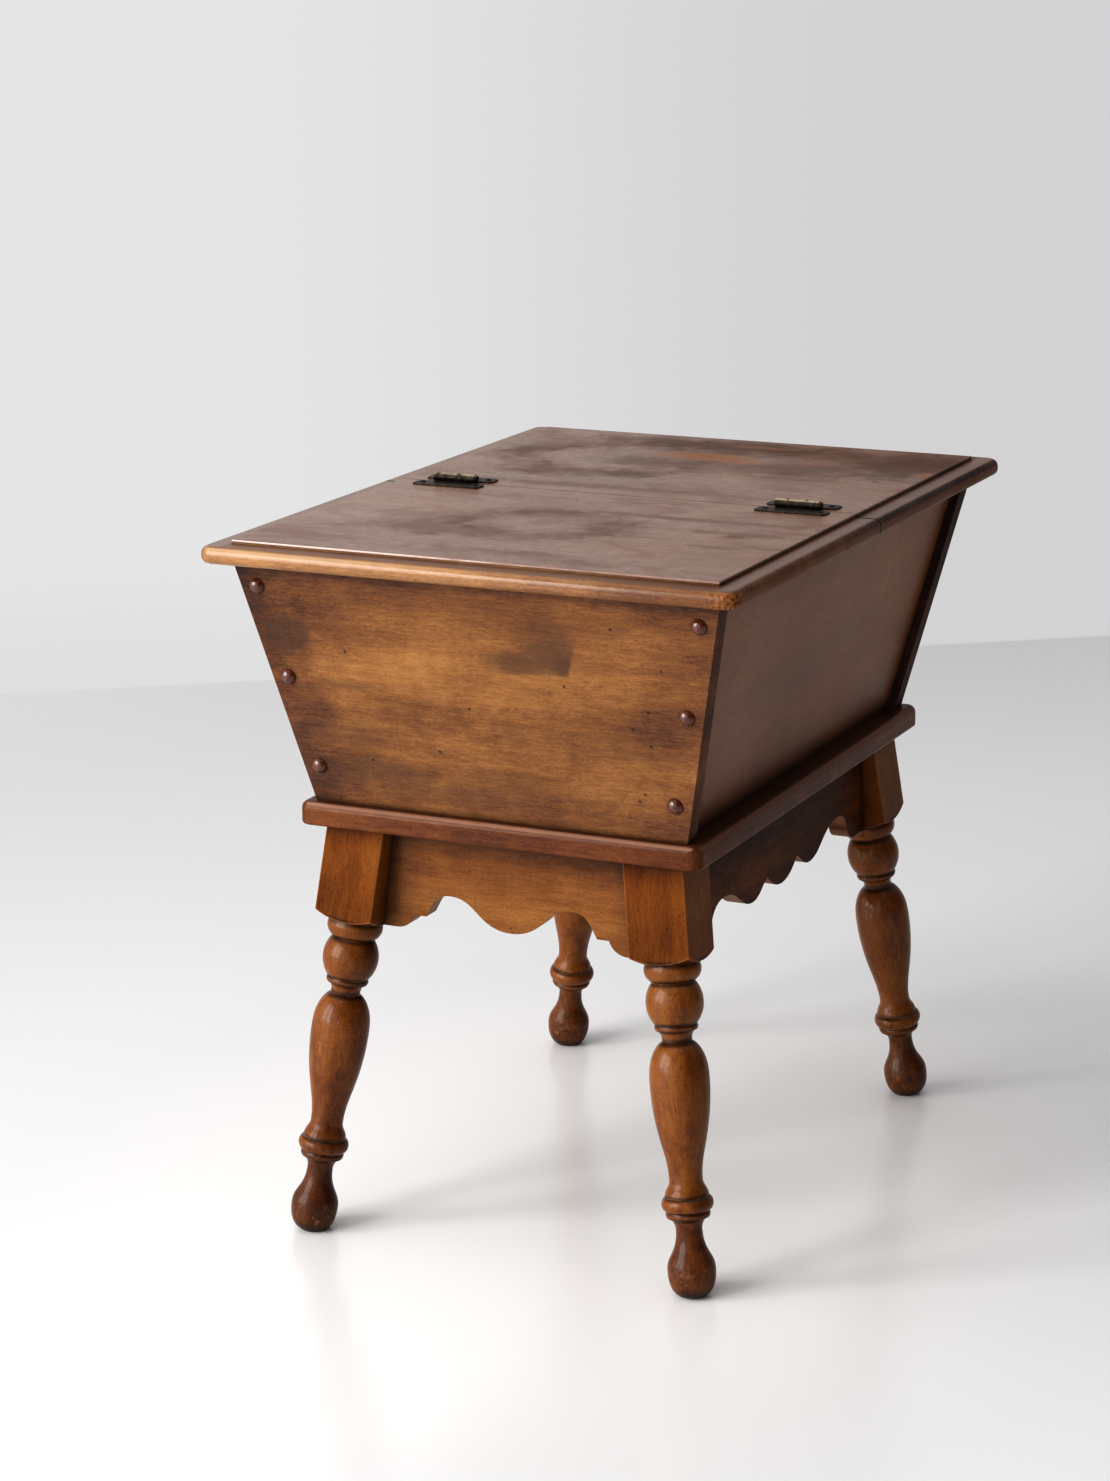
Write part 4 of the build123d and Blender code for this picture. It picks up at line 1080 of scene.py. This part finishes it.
# Far behind the chest the floor is painted as a wall. It glows with painted light, paler to the left and
# darker along its foot at the left
wallLook = {
    "light": (0.825, 0.825, 0.83, 1),
    "dim": (0.71, 0.705, 0.712, 1),
    "footTint": (0.95, 0.95, 0.95, 1),
    "facing": (-0.592, 0.806, 0.0),
    "distance": 1.718,
    "start": (-0.004, 0.012),
    "footEnd": 2.6,
    # Seen from a point, how far across it lies for each metre outward
    "from": (1.099, -2.482, 0.0),
    "across": (0.906, 0.423, 0.0),
    "outward": (-0.423, 0.906, 0.0),
    "dimStep": (-0.10, 0.10),
    "footStep": (0.0, -0.10),
    "sector": (0.9, 0.3),
}


def wallPaint(s):
    # The wall's glowing shader, painted lighter and darker, and a mask of where it stands
    look = wallLook
    run = s.vector("SUBTRACT", s.place, look["from"])
    bearing = s.dot(run, look["across"]) / s.dot(run, look["outward"])
    away = s.dot(s.place, look["facing"])
    wall = s.mix(look["light"], look["dim"], s.step(bearing, *look["dimStep"]))
    foot = s.step(away, look["footEnd"], look["distance"]) * s.step(bearing, *look["footStep"])
    wall = s.tint(wall, look["footTint"], foot)
    start, full = (look["distance"] + part for part in look["start"])
    mask = s.step(away, start, full) * s.step(abs(bearing), *look["sector"])
    # the wall glows as painted light, though it is no lamp
    return s.add("ShaderNodeEmission", None, {"Color": wall, "Strength": 1.0}), mask


def floorMaterial(name):
    s = Surface(name)
    look = floorLook
    scuff = s.noise(s.place, *look["scuff"])
    # painted shade: the floor fades darker along dullSide
    colour = s.mix(look["light"], look["dull"], s.step(s.dot(s.place, look["dullSide"]), *look["dullStep"]))
    colour = s.tint(colour, look["scuffTint"], scuff)
    # painted light under the chest
    under = s.spot(s.x, s.y, *look["belowSpot"])
    colour = s.mix(colour, look["below"], under * look["belowStrength"])
    ground = s.shader(colour, raised(*look["roughness"], scuff), gloss=look["gloss"])
    wall, mask = wallPaint(s)
    return s.close(s.add("ShaderNodeMixShader", None, {0: mask, 1: ground, 2: wall}))


def makeFloor():
    half = floorLook["halfSize"]
    mesh = bpy.data.meshes.new("floor")
    corners = [(-half, -half, 0), (half, -half, 0), (half, half, 0), (-half, half, 0)]
    mesh.from_pydata(corners, [], [(0, 1, 2, 3)])
    floor = bpy.data.objects.new("floor", mesh)
    floor.data.materials.append(floorMaterial("painted floor"))
    bpy.context.scene.collection.objects.link(floor)


makeFloor()
print("floor laid")

room = {
    "bright": (0.50, 0.50, 0.51, 1),
    "dim": (0.125, 0.100, 0.085, 1),
    "brightSide": (-0.88, 0.35, 0.32),
    "brightStep": (-0.65, 0.30),
    # A lit wall at the left
    "lit": (1.16, 1.16, 1.17, 1),
    "litSide": (-0.9367, -0.3502, 0.0),
    "litStep": (-0.10, 0.22),
    "litMiddle": (-0.55, 0.80, 0.25),
    "litSpread": (0.80, 0.95),
    # A glow behind the camera, below the ceiling
    "glow": (2.10, 2.08, 2.04, 1),
    "glowSide": (-0.60, -0.78, 0.17),
    "glowStep": (0.40, 0.90),
    "glowHeight": (0.70, 0.45),
}


class Room(Surface):  # the world and the nodes that paint it
    def __init__(self, name):
        self.world = bpy.data.worlds.new(name)
        self.world.use_nodes = True
        self.tree = self.world.node_tree
        self.tree.nodes.clear()
        self.towards = self.add("ShaderNodeTexCoord", out="Generated")

    def side(self, direction):
        return self.dot(self.towards, direction)


def paintRoom(name):
    s = Room(name)
    colour = s.mix(room["dim"], room["bright"], s.step(s.side(room["brightSide"]), *room["brightStep"]))
    lit = s.step(s.side(room["litSide"]), *room["litStep"])
    lit = lit * s.step(s.side(room["litMiddle"]), *room["litSpread"])
    colour = s.mix(colour, room["lit"], lit)
    glow = s.step(s.side(room["glowSide"]), *room["glowStep"]) * s.step(s.side(toTop), *room["glowHeight"])
    colour = s.mix(colour, room["glow"], glow)
    light = s.add("ShaderNodeBackground", None, {"Color": colour, "Strength": 1.0})
    s.add("ShaderNodeOutputWorld", None, {"Surface": light})
    bpy.context.scene.world = s.world


paintRoom("pale room")

windowLight = {"size": (1.05, 2.5), "power": 76, "colour": (1.0, 0.99, 0.97)}
lamps = {
    "nearWindow": {"place": (-1.79, -3.24, 1.65), **windowLight},
    "farWindow": {"place": (-2.81, -2.40, 1.65), **windowLight},
    "ceiling": {"place": (-0.4, -0.5, 3.6), "size": (3.0, 3.0), "power": 42, "colour": (1.0, 1.0, 1.0)},
    "door": {"place": (0.75, -3.6, 0.65), "size": (0.14, 0.8), "power": 2.0, "colour": (1.0, 1.0, 1.0)},
}
lampTarget = Vector((0, 0, 0.35))


def makeLamp(name, look):
    data = bpy.data.lights.new(name, "AREA")
    data.shape = "RECTANGLE"
    data.size, data.size_y = look["size"]
    data.energy = look["power"]
    data.color = look["colour"]
    lamp = bpy.data.objects.new(name, data)
    lamp.location = look["place"]
    lamp.rotation_euler = (lampTarget - Vector(look["place"])).to_track_quat("-Z", "Y").to_euler()
    bpy.context.scene.collection.objects.link(lamp)


for lampName, lampLook in lamps.items():
    makeLamp(lampName, lampLook)
print("room lit")

view = {
    "azimuth": 25.02,
    "elevation": 14.48,
    "roll": -0.41,
    "place": (1.09874, -2.48218, 1.05089),
    "focal": 3550.53,  # in pixels, like the height of the image
    "imageHeight": 1481,
    "sensor": 36.0,
    "clip": (0.05, 60),
    "gamma": 0.8,
}


def makeCamera():
    turn, rise, tilt = (math.radians(view[key]) for key in ("azimuth", "elevation", "roll"))
    back = Vector((math.sin(turn) * math.cos(rise), -math.cos(turn) * math.cos(rise), math.sin(rise)))
    right = Vector(toTop).cross(back).normalized()
    up = back.cross(right)
    right, up = right * math.cos(tilt) + up * math.sin(tilt), up * math.cos(tilt) - right * math.sin(tilt)
    data = bpy.data.cameras.new("camera")
    data.sensor_fit = "AUTO"
    data.sensor_width = view["sensor"]
    data.lens = view["focal"] * view["sensor"] / view["imageHeight"]
    data.clip_start, data.clip_end = view["clip"]
    camera = bpy.data.objects.new("camera", data)
    camera.matrix_world = Matrix.Translation(view["place"]) @ Matrix((right, up, back)).transposed().to_4x4()
    bpy.context.scene.collection.objects.link(camera)
    bpy.context.scene.camera = camera


makeCamera()
bpy.context.scene.view_settings.view_transform = "Standard"
bpy.context.scene.view_settings.look = "None"
bpy.context.scene.view_settings.gamma = view["gamma"]
print("camera placed")
